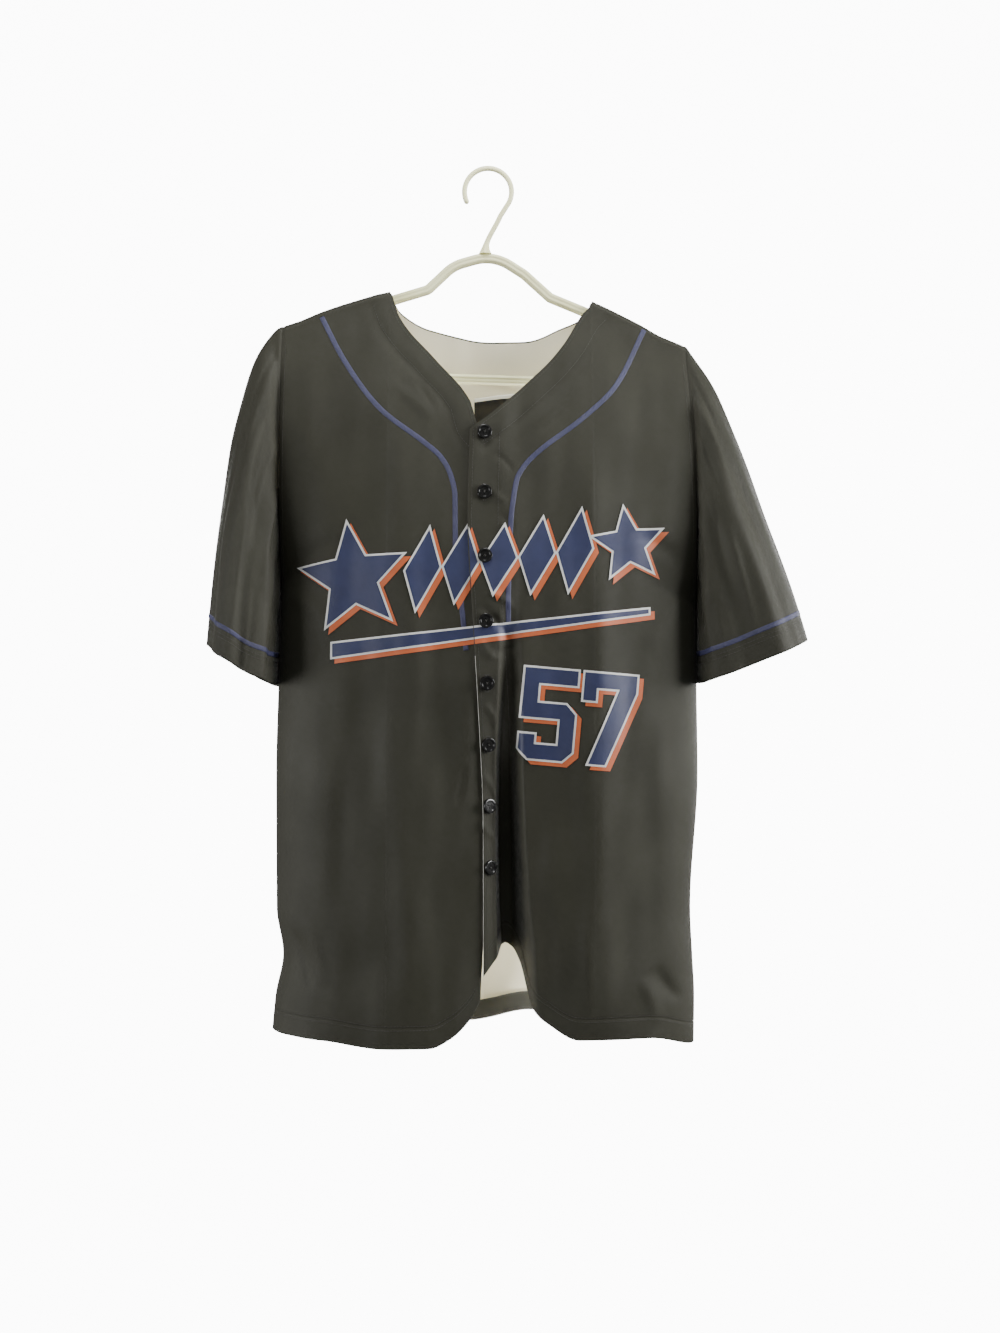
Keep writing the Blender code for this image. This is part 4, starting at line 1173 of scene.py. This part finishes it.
def numberShape(digit):
    w, h, t, c = prints["digitWidth"], prints["digitHeight"], prints["stroke"], prints["corner"]
    m, b = 0.62 * h, 0.27 * h
    if digit == 5:
        return [(0, h), (w, h), (w, h - t), (t, h - t), (t, m), (w - c, m), (w, m - c), (w, c), (w - c, 0),
                (c, 0), (0, c), (0, b), (t, b), (t, t), (w - t, t), (w - t, m - t), (0, m - t)]
    foot = 0.50 * w
    return [(0, h), (w, h), (w, h - 1.2 * t), (foot, 0), (foot - 1.12 * t, 0), (w - 1.2 * t, h - t),
            (0.85 * t, h - t), (0.85 * t, h - 1.9 * t), (0, h - 1.9 * t)]


def starShape(radius):
    reach = [radius if k % 2 == 0 else radius * prints["starWaist"] for k in range(10)]
    return [(r * math.sin(k * math.pi / 5), r * math.cos(k * math.pi / 5)) for k, r in enumerate(reach)]


def turned(points, angle, x, drop):     # (right, up) points turned anticlockwise, then placed
    c, s = math.cos(angle), math.sin(angle)
    return [(x + px * c - py * s, drop - px * s - py * c) for px, py in points]


def printShapes():
    rise = prints["rise"]
    startX, startDrop = prints["start"]
    at = lambda along: (startX + along * math.cos(rise), startDrop - along * math.sin(rise))
    emblem = [turned(starShape(radius), rise, *at(along)) for along, radius in rowsOf(prints["stars"])]
    for along, wide, high in rowsOf(prints["lozenges"]):
        lean = 0.30 * high
        emblem.append(turned([(lean, high), (wide, 0), (-lean, -high), (-wide, 0)], rise, *at(along)))
    (x0, drop0, half0), (x1, drop1, half1) = prints["bar"]
    emblem.append([(x0, drop0 - half0), (x1, drop1 - half1), (x1, drop1 + half1), (x0, drop0 + half0)])
    number = []
    width, gap = prints["digitWidth"], prints["digitGap"]
    for place, digit in enumerate(prints["number"]):
        left = (place - 1) * width + (place - 0.5) * gap
        shape = [(px + left, py - prints["digitHeight"] / 2) for px, py in numberShape(digit)]
        number.append(turned(shape, prints["numberTilt"], *prints["numberCentre"]))
    return emblem, number


def grown(points, distance):        # the outline moved outwards, with its long tips held back
    points = np.array(points)
    before, after = np.roll(points, 1, axis=0), np.roll(points, -1, axis=0)
    area = np.sum(points[:, 0] * after[:, 1] - after[:, 0] * points[:, 1])
    inward, onward = unit(points - before), unit(after - points)
    side = 1 if area > 0 else -1
    first = np.stack([inward[:, 1], -inward[:, 0]], axis=-1) * side
    second = np.stack([onward[:, 1], -onward[:, 0]], axis=-1) * side
    middle = unit(first + second)
    stretch = 1 / np.maximum(np.sum(middle * first, axis=1), 0.33)
    return points + middle * (distance * stretch)[:, None]


def printLayer(name, shapes, heights, panelSide, material):
    shape = bmesh.new()
    for points in shapes:
        face = shape.faces.new([shape.verts.new((x, drop, 0)) for x, drop in points])
        face.normal_update()
        bmesh.ops.triangulate(shape, faces=[face])
    xs = [corner.co.x for corner in shape.verts]
    drops = [corner.co.y for corner in shape.verts]
    for axis, low, high in ((0, min(xs), max(xs)), (1, min(drops), max(drops))):
        for place in np.arange(low + prints["grid"] / 2, high, prints["grid"]):
            normal, point = [0, 0, 0], [0, 0, 0]
            normal[axis], point[axis] = 1, place
            geometry = shape.verts[:] + shape.edges[:] + shape.faces[:]
            bmesh.ops.bisect_plane(shape, geom=geometry, dist=1e-7, plane_co=point, plane_no=normal)
    flat = np.array([corner.co for corner in shape.verts])
    edge = lookUp(body["frontEdges"], "over", flat[:, 1])
    if panelSide == "left":
        surface, keep = leftFrontSurface, flat[:, 0] >= edge
        flat[:, 0] = np.maximum(flat[:, 0], edge + 0.0006)
    else:
        surface, keep = rightFrontSurface, flat[:, 0] <= edge + 0.004
    shape.verts.index_update()
    faces = []
    for face in shape.faces:
        indices = [corner.index for corner in face.verts]
        if all(keep[indices]) if panelSide == "right" else any(keep[indices]):
            faces.append(indices)
    shape.free()
    if not faces:
        return None
    used = sorted({index for face in faces for index in face})
    renumber = {old: new for new, old in enumerate(used)}
    faces = [[renumber[index] for index in face] for face in faces]
    x, drop = flat[used, 0], flat[used, 1]
    points, out = surface(x, drop), surfaceNormal(surface, x, drop)
    low, high = points + out * heights[0], points + out * heights[1]
    count = len(used)
    edges = {}
    for face in faces:
        for a, b in zip(face, face[1:] + face[:1]):
            edges[(a, b)] = True
    solid = [[index + count for index in face] for face in faces] + [face[::-1] for face in faces]
    solid += [[a, b, b + count, a + count] for a, b in edges if (b, a) not in edges]
    mesh = bpy.data.meshes.new(name)
    mesh.from_pydata(np.concatenate([low, high]).tolist(), [], solid)
    mesh.materials.append(material)
    tidy = bmesh.new()
    tidy.from_mesh(mesh)
    bmesh.ops.remove_doubles(tidy, verts=tidy.verts, dist=0.00002)
    bmesh.ops.recalc_face_normals(tidy, faces=tidy.faces)
    tidy.to_mesh(mesh)
    tidy.free()
    mesh.shade_smooth()
    mesh.set_sharp_from_angle(angle=math.radians(50))
    return linkPiece(name, mesh)


def printPieces(blue, white, orange):
    emblem, number = printShapes()
    pieces = []
    for part, shapes in (("emblem", emblem), ("number", number)):
        outlines = [grown(shape, prints["outline"]) for shape in shapes]
        shadows = [outline + np.array(prints["shadow"]) for outline in outlines]
        for layer, layerShapes, material in (("shadow", shadows, orange), ("outline", outlines, white),
                                             ("fill", shapes, blue)):
            heights = prints[{"shadow": "orange", "outline": "white", "fill": "blue"}[layer]]
            for panelSide in ("right", "left") if part == "emblem" else ("left",):
                made = printLayer(f"{panelSide}_{part}_{layer}", layerShapes, heights, panelSide, material)
                if made is not None:
                    pieces.append((made, panelSide, layer))
    return pieces


# Finishes. Colours are linear
finish = {
    "cloth": (0.0250, 0.0244, 0.0155), "clothLight": (0.0325, 0.0318, 0.0210), "clothRoughness": 0.60,
    "reverse": (0.90, 0.85, 0.66), "reverseRoughness": 0.8,
    "blue": (0.029, 0.031, 0.085), "braidRoughness": 0.55,
    "printBlue": (0.021, 0.028, 0.086), "printWhite": (0.72, 0.72, 0.70), "printOrange": (0.56, 0.12, 0.035),
    "thread": (0.030, 0.029, 0.025),
    "button": (0.0045, 0.0045, 0.0042), "buttonRoughness": 0.16,
    "label": (0.004, 0.004, 0.0045), "labelBorder": (0.80, 0.80, 0.74),
    "plastic": (0.84, 0.84, 0.52), "plasticRoughness": 0.34,
    "wale": 0.0009, "course": 0.0007,       # the knit's stitch
}


def nodeGroup(name, inputs, outputs):
    group = bpy.data.node_groups.new(name, "ShaderNodeTree")
    for socketName, kind, value in inputs:
        socket = group.interface.new_socket(socketName, in_out="INPUT", socket_type=kind)
        if value is not None:
            socket.default_value = value
    for socketName, kind in outputs:
        group.interface.new_socket(socketName, in_out="OUTPUT", socket_type=kind)
    return group, group.nodes.new("NodeGroupInput"), group.nodes.new("NodeGroupOutput")


def mathNode(tree, operation, first, second=None, third=None):
    node = tree.nodes.new("ShaderNodeMath")
    node.operation = operation
    for socket, value in zip(node.inputs, (first, second, third)):
        if value is None:
            continue
        if isinstance(value, (int, float)):
            socket.default_value = value
        else:
            tree.links.new(value, socket)
    return node.outputs[0]


def knitGroup():        # columns of v-shaped stitches; reads a vector in metres. Its second output is painted shade, darker in the stitches' hollows
    group, given, result = nodeGroup(
        "knitStitches",
        (("Vector", "NodeSocketVector", None), ("Wale", "NodeSocketFloat", 0.001),
         ("Course", "NodeSocketFloat", 0.0008)),
        (("Height", "NodeSocketFloat"), ("PaintedShade", "NodeSocketFloat")))
    split = group.nodes.new("ShaderNodeSeparateXYZ")
    group.links.new(given.outputs["Vector"], split.inputs[0])
    column = mathNode(group, "DIVIDE", split.outputs["X"], given.outputs["Wale"])
    share = mathNode(group, "FRACT", column)
    fromMiddle = mathNode(group, "ABSOLUTE", mathNode(group, "SUBTRACT", share, 0.5))
    row = mathNode(group, "DIVIDE", split.outputs["Y"], given.outputs["Course"])
    leaning = mathNode(group, "ADD", row, mathNode(group, "MULTIPLY", fromMiddle, 1.1))
    wave = mathNode(group, "SINE", mathNode(group, "MULTIPLY", leaning, 2 * math.pi))
    loop = mathNode(group, "MULTIPLY_ADD", wave, 0.3, 0.7)
    groove = mathNode(group, "SINE", mathNode(group, "MULTIPLY", share, math.pi))
    height = mathNode(group, "MULTIPLY", mathNode(group, "POWER", groove, 0.6), loop)
    group.links.new(height, result.inputs["Height"])
    # painted shade: the lower the stitch, the darker the colour factor
    group.links.new(mathNode(group, "MULTIPLY_ADD", height, 0.35, 0.75), result.inputs["PaintedShade"])
    return group


def mottleGroup():      # broad soft patches and fine fuzz on object coordinates
    group, given, result = nodeGroup(
        "softMottle",
        (("Vector", "NodeSocketVector", None), ("Scale", "NodeSocketFloat", 14.0),
         ("Fuzz", "NodeSocketFloat", 900.0)),
        (("Patches", "NodeSocketFloat"), ("Fibres", "NodeSocketFloat")))
    for scale, output, detail in (("Scale", "Patches", 4.0), ("Fuzz", "Fibres", 2.0)):
        noise = group.nodes.new("ShaderNodeTexNoise")
        noise.inputs["Detail"].default_value = detail
        group.links.new(given.outputs["Vector"], noise.inputs["Vector"])
        group.links.new(given.outputs[scale], noise.inputs["Scale"])
        group.links.new(noise.outputs["Fac"], result.inputs[output])
    return group


def startMaterial(name, roughness):
    made = bpy.data.materials.new(name)
    made.use_nodes = True
    shader = made.node_tree.nodes["Principled BSDF"]
    shader.inputs["Roughness"].default_value = roughness
    coords = made.node_tree.nodes.new("ShaderNodeTexCoord")
    return made, made.node_tree, shader, coords


def placeGroup(tree, group, vector, **values):
    node = tree.nodes.new("ShaderNodeGroup")
    node.node_tree = group
    tree.links.new(vector, node.inputs["Vector"])
    for socketName, value in values.items():
        node.inputs[socketName].default_value = value
    return node


def mixColours(tree, factor, first, second, blend="MIX"):
    node = tree.nodes.new("ShaderNodeMix")
    node.data_type = "RGBA"
    node.blend_type = blend
    for socket, value in ((node.inputs[0], factor), (node.inputs[6], first), (node.inputs[7], second)):
        if isinstance(value, (int, float)):
            socket.default_value = value
        elif isinstance(value, tuple):
            socket.default_value = (*value, 1.0)
        else:
            tree.links.new(value, socket)
    return node.outputs[2]


def levels(tree, value, low, high, outLow, outHigh):
    node = tree.nodes.new("ShaderNodeMapRange")
    tree.links.new(value, node.inputs["Value"])
    for name, number in (("From Min", low), ("From Max", high), ("To Min", outLow), ("To Max", outHigh)):
        node.inputs[name].default_value = number
    return node.outputs[0]


def bumpInto(tree, shader, height, distance, strength=1.0, before=None):
    bump = tree.nodes.new("ShaderNodeBump")
    bump.inputs["Distance"].default_value = distance
    bump.inputs["Strength"].default_value = strength
    tree.links.new(height, bump.inputs["Height"])
    if before is not None:
        tree.links.new(before, bump.inputs["Normal"])
    tree.links.new(bump.outputs[0], shader.inputs["Normal"])
    return bump.outputs[0]


def knitMaterial(name, dark, light, roughness, groups, sheen):
    made, tree, shader, coords = startMaterial(name, roughness)
    knit = placeGroup(tree, groups["knit"], coords.outputs["UV"], Wale=finish["wale"],
                      Course=finish["course"])
    mottle = placeGroup(tree, groups["mottle"], coords.outputs["Object"], Scale=9.0)
    patches = levels(tree, mottle.outputs["Patches"], 0.3, 0.7, 0.0, 1.0)
    colour = mixColours(tree, patches, dark, light)
    # painted shade in the knit's hollows, multiplied into the colour
    colourWithPaintedShade = mixColours(tree, 1.0, colour, knit.outputs["PaintedShade"], "MULTIPLY")
    tree.links.new(colourWithPaintedShade, shader.inputs["Base Color"])
    rough = levels(tree, patches, 0.0, 1.0, roughness + 0.04, roughness - 0.05)
    tree.links.new(rough, shader.inputs["Roughness"])
    first = bumpInto(tree, shader, knit.outputs["Height"], 0.00010)
    bumpInto(tree, shader, mottle.outputs["Fibres"], 0.00008, 0.6, first)
    shader.inputs["Sheen Weight"].default_value = sheen
    shader.inputs["Sheen Roughness"].default_value = 0.45
    shader.inputs["Specular IOR Level"].default_value = 0.26
    return made


def wovenMaterial(name, colour, roughness, groups, across, along, depth):
    made, tree, shader, coords = startMaterial(name, roughness)
    knit = placeGroup(tree, groups["knit"], coords.outputs["UV"], Wale=across, Course=along)
    mottle = placeGroup(tree, groups["mottle"], coords.outputs["Object"], Scale=60.0)
    worn = levels(tree, mottle.outputs["Patches"], 0.3, 0.7, 0.85, 1.12)
    base = mixColours(tree, 1.0, colour, worn, "MULTIPLY")
    # painted shade in the weave's hollows, multiplied into the colour
    base = mixColours(tree, 1.0, base, knit.outputs["PaintedShade"], "MULTIPLY")
    tree.links.new(base, shader.inputs["Base Color"])
    bumpInto(tree, shader, knit.outputs["Height"], depth)
    return made


def printMaterial(name, colour, groups):        # a thin print: the cloth's grain shows through, with painted shade in the stitches' hollows, a little worn
    made, tree, shader, coords = startMaterial(name, 0.5)
    turnedUp = tree.nodes.new("ShaderNodeMapping")
    turnedUp.inputs["Rotation"].default_value = (math.radians(90), 0, 0)
    tree.links.new(coords.outputs["Object"], turnedUp.inputs["Vector"])
    knit = placeGroup(tree, groups["knit"], turnedUp.outputs[0], Wale=finish["wale"], Course=finish["course"])
    mottle = placeGroup(tree, groups["mottle"], coords.outputs["Object"], Scale=45.0)
    worn = levels(tree, mottle.outputs["Patches"], 0.25, 0.75, 0.82, 1.1)
    base = mixColours(tree, 1.0, colour, worn, "MULTIPLY")
    # painted shade in the knit's hollows, multiplied into the colour
    base = mixColours(tree, 1.0, base, knit.outputs["PaintedShade"], "MULTIPLY")
    tree.links.new(base, shader.inputs["Base Color"])
    bumpInto(tree, shader, knit.outputs["Height"], 0.00008)
    return made


def plasticMaterial(groups):
    made, tree, shader, coords = startMaterial("creamMoulding", finish["plasticRoughness"])
    mottle = placeGroup(tree, groups["mottle"], coords.outputs["Object"], Scale=30.0, Fuzz=420.0)
    patches = levels(tree, mottle.outputs["Patches"], 0.3, 0.7, 0.0, 1.0)
    warm = tuple(c * f for c, f in zip(finish["plastic"], (0.90, 0.88, 0.80)))
    tree.links.new(mixColours(tree, patches, warm, finish["plastic"]), shader.inputs["Base Color"])
    rough = levels(tree, mottle.outputs["Patches"], 0.3, 0.7, 0.44, finish["plasticRoughness"])
    tree.links.new(rough, shader.inputs["Roughness"])
    bumpInto(tree, shader, mottle.outputs["Fibres"], 0.00004, 0.5)
    return made


def buttonMaterial(groups):
    made, tree, shader, coords = startMaterial("darkShell", finish["buttonRoughness"])
    mottle = placeGroup(tree, groups["mottle"], coords.outputs["Object"], Scale=220.0, Fuzz=1500.0)
    patches = levels(tree, mottle.outputs["Patches"], 0.3, 0.7, 0.0, 1.0)
    pale = tuple(c * 2.2 for c in finish["button"])
    tree.links.new(mixColours(tree, patches, finish["button"], pale), shader.inputs["Base Color"])
    tree.links.new(levels(tree, patches, 0.0, 1.0, 0.13, 0.24), shader.inputs["Roughness"])
    bumpInto(tree, shader, mottle.outputs["Patches"], 0.00004)
    return made


def labelMaterial(groups):      # black satin with a pale band along its top
    made, tree, shader, coords = startMaterial("labelSatin", 0.42)
    weave = placeGroup(tree, groups["knit"], coords.outputs["UV"], Wale=0.0005, Course=0.0005)
    split = tree.nodes.new("ShaderNodeSeparateXYZ")
    tree.links.new(coords.outputs["UV"], split.inputs[0])
    height = label["bottom"] - label["top"]
    edge = mathNode(tree, "GREATER_THAN", split.outputs["Y"], height - label["border"])
    colour = mixColours(tree, edge, finish["label"], finish["labelBorder"])
    # painted shade in the weave's hollows, multiplied into the colour
    colourWithPaintedShade = mixColours(tree, 1.0, colour, weave.outputs["PaintedShade"], "MULTIPLY")
    tree.links.new(colourWithPaintedShade, shader.inputs["Base Color"])
    bumpInto(tree, shader, weave.outputs["Height"], 0.00006)
    return made


def threadMaterial(groups):
    made, tree, shader, coords = startMaterial("darkThread", 0.6)
    mottle = placeGroup(tree, groups["mottle"], coords.outputs["Object"], Scale=500.0, Fuzz=2500.0)
    pale = tuple(c * 1.7 for c in finish["thread"])
    colour = mixColours(tree, mottle.outputs["Patches"], finish["thread"], pale)
    tree.links.new(colour, shader.inputs["Base Color"])
    bumpInto(tree, shader, mottle.outputs["Fibres"], 0.00005)
    return made


# The room: a pale sweep, soft light from the viewer's right and a weaker fill
studio = {
    "camera": (0.012, -1.6, -0.4955),
    "frameHeight": 1.333,
    "floor": -2.40, "wall": 2.60, "nearer": 1.2, "reach": 4.5, "cove": 0.5,
    "backdrop": (0.92, 0.92, 0.92), "glow": 12.0,
    "world": 0.19,
    "lights": {
        "right": dict(place=(2.25, -0.64, 0.08), aim=(0.05, 0, -0.50), size=1.2, power=104.0),
        "left": dict(place=(-2.2, -0.80, -0.62), aim=(-0.05, 0, -0.7), size=1.2, power=52.0),
        "top": dict(place=(0.1, -1.1, 1.2), aim=(0, 0.03, -0.25), size=1.0, power=5.0),
        "neck": dict(place=(0.01, -0.26, 0.34), aim=(0.005, 0.05, -0.2), size=0.25, power=4.5),
        "low": dict(place=(0.03, 0.03, -1.24), aim=(0.02, 0.06, -0.80), size=0.08, power=12.0),
        "behindRight": dict(place=(-0.9, 2.1, 0.5), aim=(0, 0, -0.45), size=1.4, power=50.0),
        "behindLeft": dict(place=(1.5, 1.6, -0.2), aim=(0, 0, -0.5), size=1.4, power=26.0)},
}


def camera():
    made = bpy.data.cameras.new("camera")
    made.sensor_fit = "VERTICAL"
    made.sensor_height = 36
    made.lens = made.sensor_height * -studio["camera"][1] / studio["frameHeight"]
    holder = linkPiece("camera", made)
    holder.location = studio["camera"]
    holder.rotation_euler = (math.pi / 2, 0, 0)
    bpy.context.scene.camera = holder


def room():
    clearSelection()
    reach, cove = studio["reach"], studio["cove"]
    far, floor = studio["wall"] - cove, studio["floor"]
    turn = np.linspace(0, math.pi / 2, 13)
    bend = [(far + cove * math.sin(a), floor + cove * (1 - math.cos(a))) for a in turn]
    bend.append((studio["wall"], floor + reach * 1.3))
    near = [(-y - studio["nearer"], z) for y, z in reversed(bend)]      # the same curve behind the camera
    profile = near + bend
    vertices = [(x, y, z) for x in (-reach, reach) for y, z in profile]
    count = len(profile)
    faces = [(i, i + 1, count + i + 1, count + i) for i in range(count - 1)]
    mesh = bpy.data.meshes.new("paleSweep")
    mesh.from_pydata(vertices, [], faces)
    mesh.shade_smooth()
    made, tree, shader, coords = startMaterial("palePaper", 0.9)
    noise = tree.nodes.new("ShaderNodeTexNoise")
    noise.inputs["Scale"].default_value = 2.0
    tree.links.new(coords.outputs["Object"], noise.inputs["Vector"])
    dim = tuple(c * 0.985 for c in studio["backdrop"])
    paper = mixColours(tree, noise.outputs["Fac"], dim, studio["backdrop"])
    tree.links.new(paper, shader.inputs["Base Color"])
    shader.inputs["Emission Color"].default_value = (*studio["backdrop"], 1)
    shader.inputs["Emission Strength"].default_value = studio["glow"]
    mesh.materials.append(made)
    sweep = linkPiece("paleSweep", mesh)
    sweep.visible_diffuse = False       # the paper is bright, but lights and shades nothing
    sweep.visible_glossy = False
    sweep.visible_shadow = False

    world = bpy.data.worlds.new("softRoom")
    world.use_nodes = True
    air = world.node_tree.nodes["Background"]
    air.inputs["Color"].default_value = (1, 1, 1, 1)
    path = world.node_tree.nodes.new("ShaderNodeLightPath")
    strength = world.node_tree.nodes.new("ShaderNodeMapRange")     # seen past the sweep's edge, it is as pale
    strength.inputs["To Min"].default_value = studio["world"]
    strength.inputs["To Max"].default_value = studio["glow"]
    world.node_tree.links.new(path.outputs["Is Camera Ray"], strength.inputs["Value"])
    world.node_tree.links.new(strength.outputs["Result"], air.inputs["Strength"])
    bpy.context.scene.world = world
    for name, lamp in studio["lights"].items():
        data = bpy.data.lights.new(name, "AREA")
        data.shape = "DISK"
        data.size = lamp["size"]
        data.energy = lamp["power"]
        holder = linkPiece(name, data)
        holder.location = lamp["place"]
        aim = Vector(lamp["aim"]) - Vector(lamp["place"])
        holder.rotation_euler = aim.to_track_quat("-Z", "Y").to_euler()


def carry(piece, node=None):
    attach(piece, "root")
    if node:
        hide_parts(node)


camera()
room()
groups = {"knit": knitGroup(), "mottle": mottleGroup()}
outside = knitMaterial("darkKnit", finish["cloth"], finish["clothLight"], finish["clothRoughness"], groups,
                       0.05)
reverse = knitMaterial("paleReverse", tuple(c * 0.93 for c in finish["reverse"]), finish["reverse"],
                       finish["reverseRoughness"], groups, 0.05)
whiteEdge = wovenMaterial("whiteEdge", (0.62, 0.62, 0.58), 0.7, groups, 0.0008, 0.0008, 0.00006)
braidBlue = wovenMaterial("blueBraid", finish["blue"], finish["braidRoughness"], groups, 0.0008, 0.0010,
                          0.00015)
printBlue = printMaterial("printBlue", finish["printBlue"], groups)
printWhite = printMaterial("printWhite", finish["printWhite"], groups)
printOrange = printMaterial("printOrange", finish["printOrange"], groups)
thread = threadMaterial(groups)
shell = buttonMaterial(groups)
moulding = plasticMaterial(groups)
satin = labelMaterial(groups)
print("stage: camera, light and finishes")

neckLeft, neckRight = (level(x) for x in body["neckEnds"])
insideLeft = level(body["neckEnds"][0] + body["neckTurn"])
insideRight = level(body["neckEnds"][1] - body["neckTurn"])
sideLeft, sideRight = alongRows(body["sides"], "left"), alongRows(body["sides"], "right")
valleyAt = {name: alongRows(body["valley"], name) for name in ("lip", "floorLeft", "floorRight", "end")}
over, under = alongRows(body["frontEdges"], "over"), alongRows(body["frontEdges"], "under")

rightSpans = [(sideLeft, neckLeft, density["side"], "start"), (neckLeft, insideLeft, 2, ""),
              (insideLeft, under, 38, "")]
leftSpans = [(over, valleyAt["lip"], 12, ""), (valleyAt["lip"], valleyAt["floorLeft"], 11, ""),
             (valleyAt["floorLeft"], valleyAt["floorRight"], 3, ""),
             (valleyAt["floorRight"], valleyAt["end"], 16, ""), (valleyAt["end"], insideRight, 27, ""),
             (insideRight, neckRight, 2, ""), (neckRight, sideRight, density["side"], "end")]
backSpans = [(sideLeft, neckLeft, density["side"], "start"), (neckLeft, insideLeft, 2, ""),
             (insideLeft, insideRight, 72, ""), (insideRight, neckRight, 2, ""),
             (neckRight, sideRight, density["side"], "end")]
neckSpans = {"right_front": (-0.0945, 0.0070), "left_front": (-0.0165, 0.1005), "back": (-0.0945, 0.1005)}
necks = {"right_front": edges["rightNeck"], "left_front": edges["leftNeck"], "back": edges["backNeck"]}
hems = {"right_front": edges["rightHem"], "left_front": edges["leftHem"], "back": edges["backHem"]}

# the row where the over front's edge stops being painted dark as shade and turns white
paintedShadeRimEnd = density["rollSteps"] + density["armholeRows"] + density["paintedShadeRimRows"]


def frontRimPaintedShade(row, column):      # the over front's raw edge shows white below the chest; higher up it takes the dark outer cloth as painted shade along the edge
    return 2 if row > paintedShadeRimEnd else 0


panels = {}
for name, surface, spans, seamSide, face, seams, bulge, rims in (
        ("right_front", rightFrontSurface, rightSpans, "left", "front", ("start",), ("end", "bottom"), {}),
        ("left_front", leftFrontSurface, leftSpans, "right", "front", ("end",), ("start", "bottom"),
         {"start": frontRimPaintedShade}),
        ("back", backSurface, backSpans, "left", "back", ("start", "end"), ("bottom",), {})):
    facing = neckLine(necks[name], *neckSpans[name], cloth["facing"]) if face == "front" else None
    panels[name] = bodyPanel(name + "_panel", surface, spans, necks[name], hems[name], seamSide, face, seams,
                             bulge, rims, [outside, reverse, whiteEdge], facing)
print("stage: the panels")

sleeves = {}
for name, cut in sleeveCut["sides"].items():
    sleeves[name] = sleevePiece(name, cut, [outside, reverse], braidBlue)
print("stage: the sleeves")

frontBraids = {}
for side in ("right", "left"):
    frontBraids[side] = frontBraid(side + "_front_soutache", trim[side], braidBlue)
labelPiece = neckLabel([satin])
buttonPieces = buttons(shell, thread)
hangerPiece, hookPiece = hanger(moulding)
printed = printPieces(printBlue, printWhite, printOrange)
print("stage: trim, buttons, hanger and prints")

oneStitch = stitchMesh()
hemDistances = np.array(density["hemRows"])
threads = []
for name, panel in panels.items():
    lines = []
    for distance in stitch["hemRows"]:
        row = len(panel["x"]) - len(hemDistances) + int(np.argmin(np.abs(hemDistances - distance)))
        lines.append((panel["outer"][row, 2:-2], panel["out"][row, 2:-2]))
    for inset in stitch["neckRows"] if name != "back" else stitch["neckRows"][:1]:
        left, right = neckSpans[name]
        lines.append(layOn(panel, *neckLine(necks[name], left, right, inset)))
    armDrop = np.linspace(0.02, body["armholeDrop"] - 0.004, 200)
    for side, edge, sign in (("left", sideLeft, 1), ("right", sideRight, -1)):
        if name == "right_front" and side == "right" or name == "left_front" and side == "left":
            continue
        drop = sideTop(side) + armDrop
        lines.append(layOn(panel, edge(drop) + sign * stitch["armholeRow"], drop))
    if name == "left_front":
        for inset in stitch["placketRows"]:
            drop = np.linspace(stitch["placketFrom"], stitch["placketTo"], 300)
            lines.append(layOn(panel, over(drop) + inset, drop))
        lines += buttonholes(panel)
    threads.append((stitchRows(name + "_stitches", lines, oneStitch, thread), name))
for name, sleeve in sleeves.items():
    distances = np.array(sleeveCut["cuffRows"])
    lines = []
    for distance in stitch["hemRows"]:
        row = len(sleeve["outer"]) - len(distances) + int(np.argmin(np.abs(distances - distance)))
        lines.append((closeRing(sleeve["outer"])[row], closeRing(sleeve["out"])[row]))
    threads.append((stitchRows(name + "_sleeve_stitches", lines, oneStitch, thread), name + "_sleeve"))
print("stage: the stitches")

pieces = bpy.data.objects
threadOn = {name: piece for piece, name in threads}
for name in ("right_front", "left_front", "back"):
    side = name.split("_")[0]
    onPanel = [threadOn[name]]
    if "front" in name:
        onPanel += [piece for piece, panelSide, layer in printed if panelSide == side]
        onPanel.append(frontBraids[side])
    carry(pieces[name + "_panel"], name)
    for piece in onPanel:
        carry(piece)
for side in ("right", "left"):
    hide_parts(side + "_front_braid")
    shellPiece, ribbon = pieces[side + "_sleeve_shell"], pieces[side + "_sleeve_ribbon"]
    carry(shellPiece, side + "_sleeve")
    carry(ribbon, side + "_sleeve_braid")
    carry(threadOn[side + "_sleeve"])
for number, piece in enumerate(buttonPieces, start=1):
    carry(piece, f"button_{number}")
carry(labelPiece, "neck_label")
carry(hangerPiece, "hanger")
carry(hookPiece, "hanger_hook")
print("stage: the pieces ride on the body")
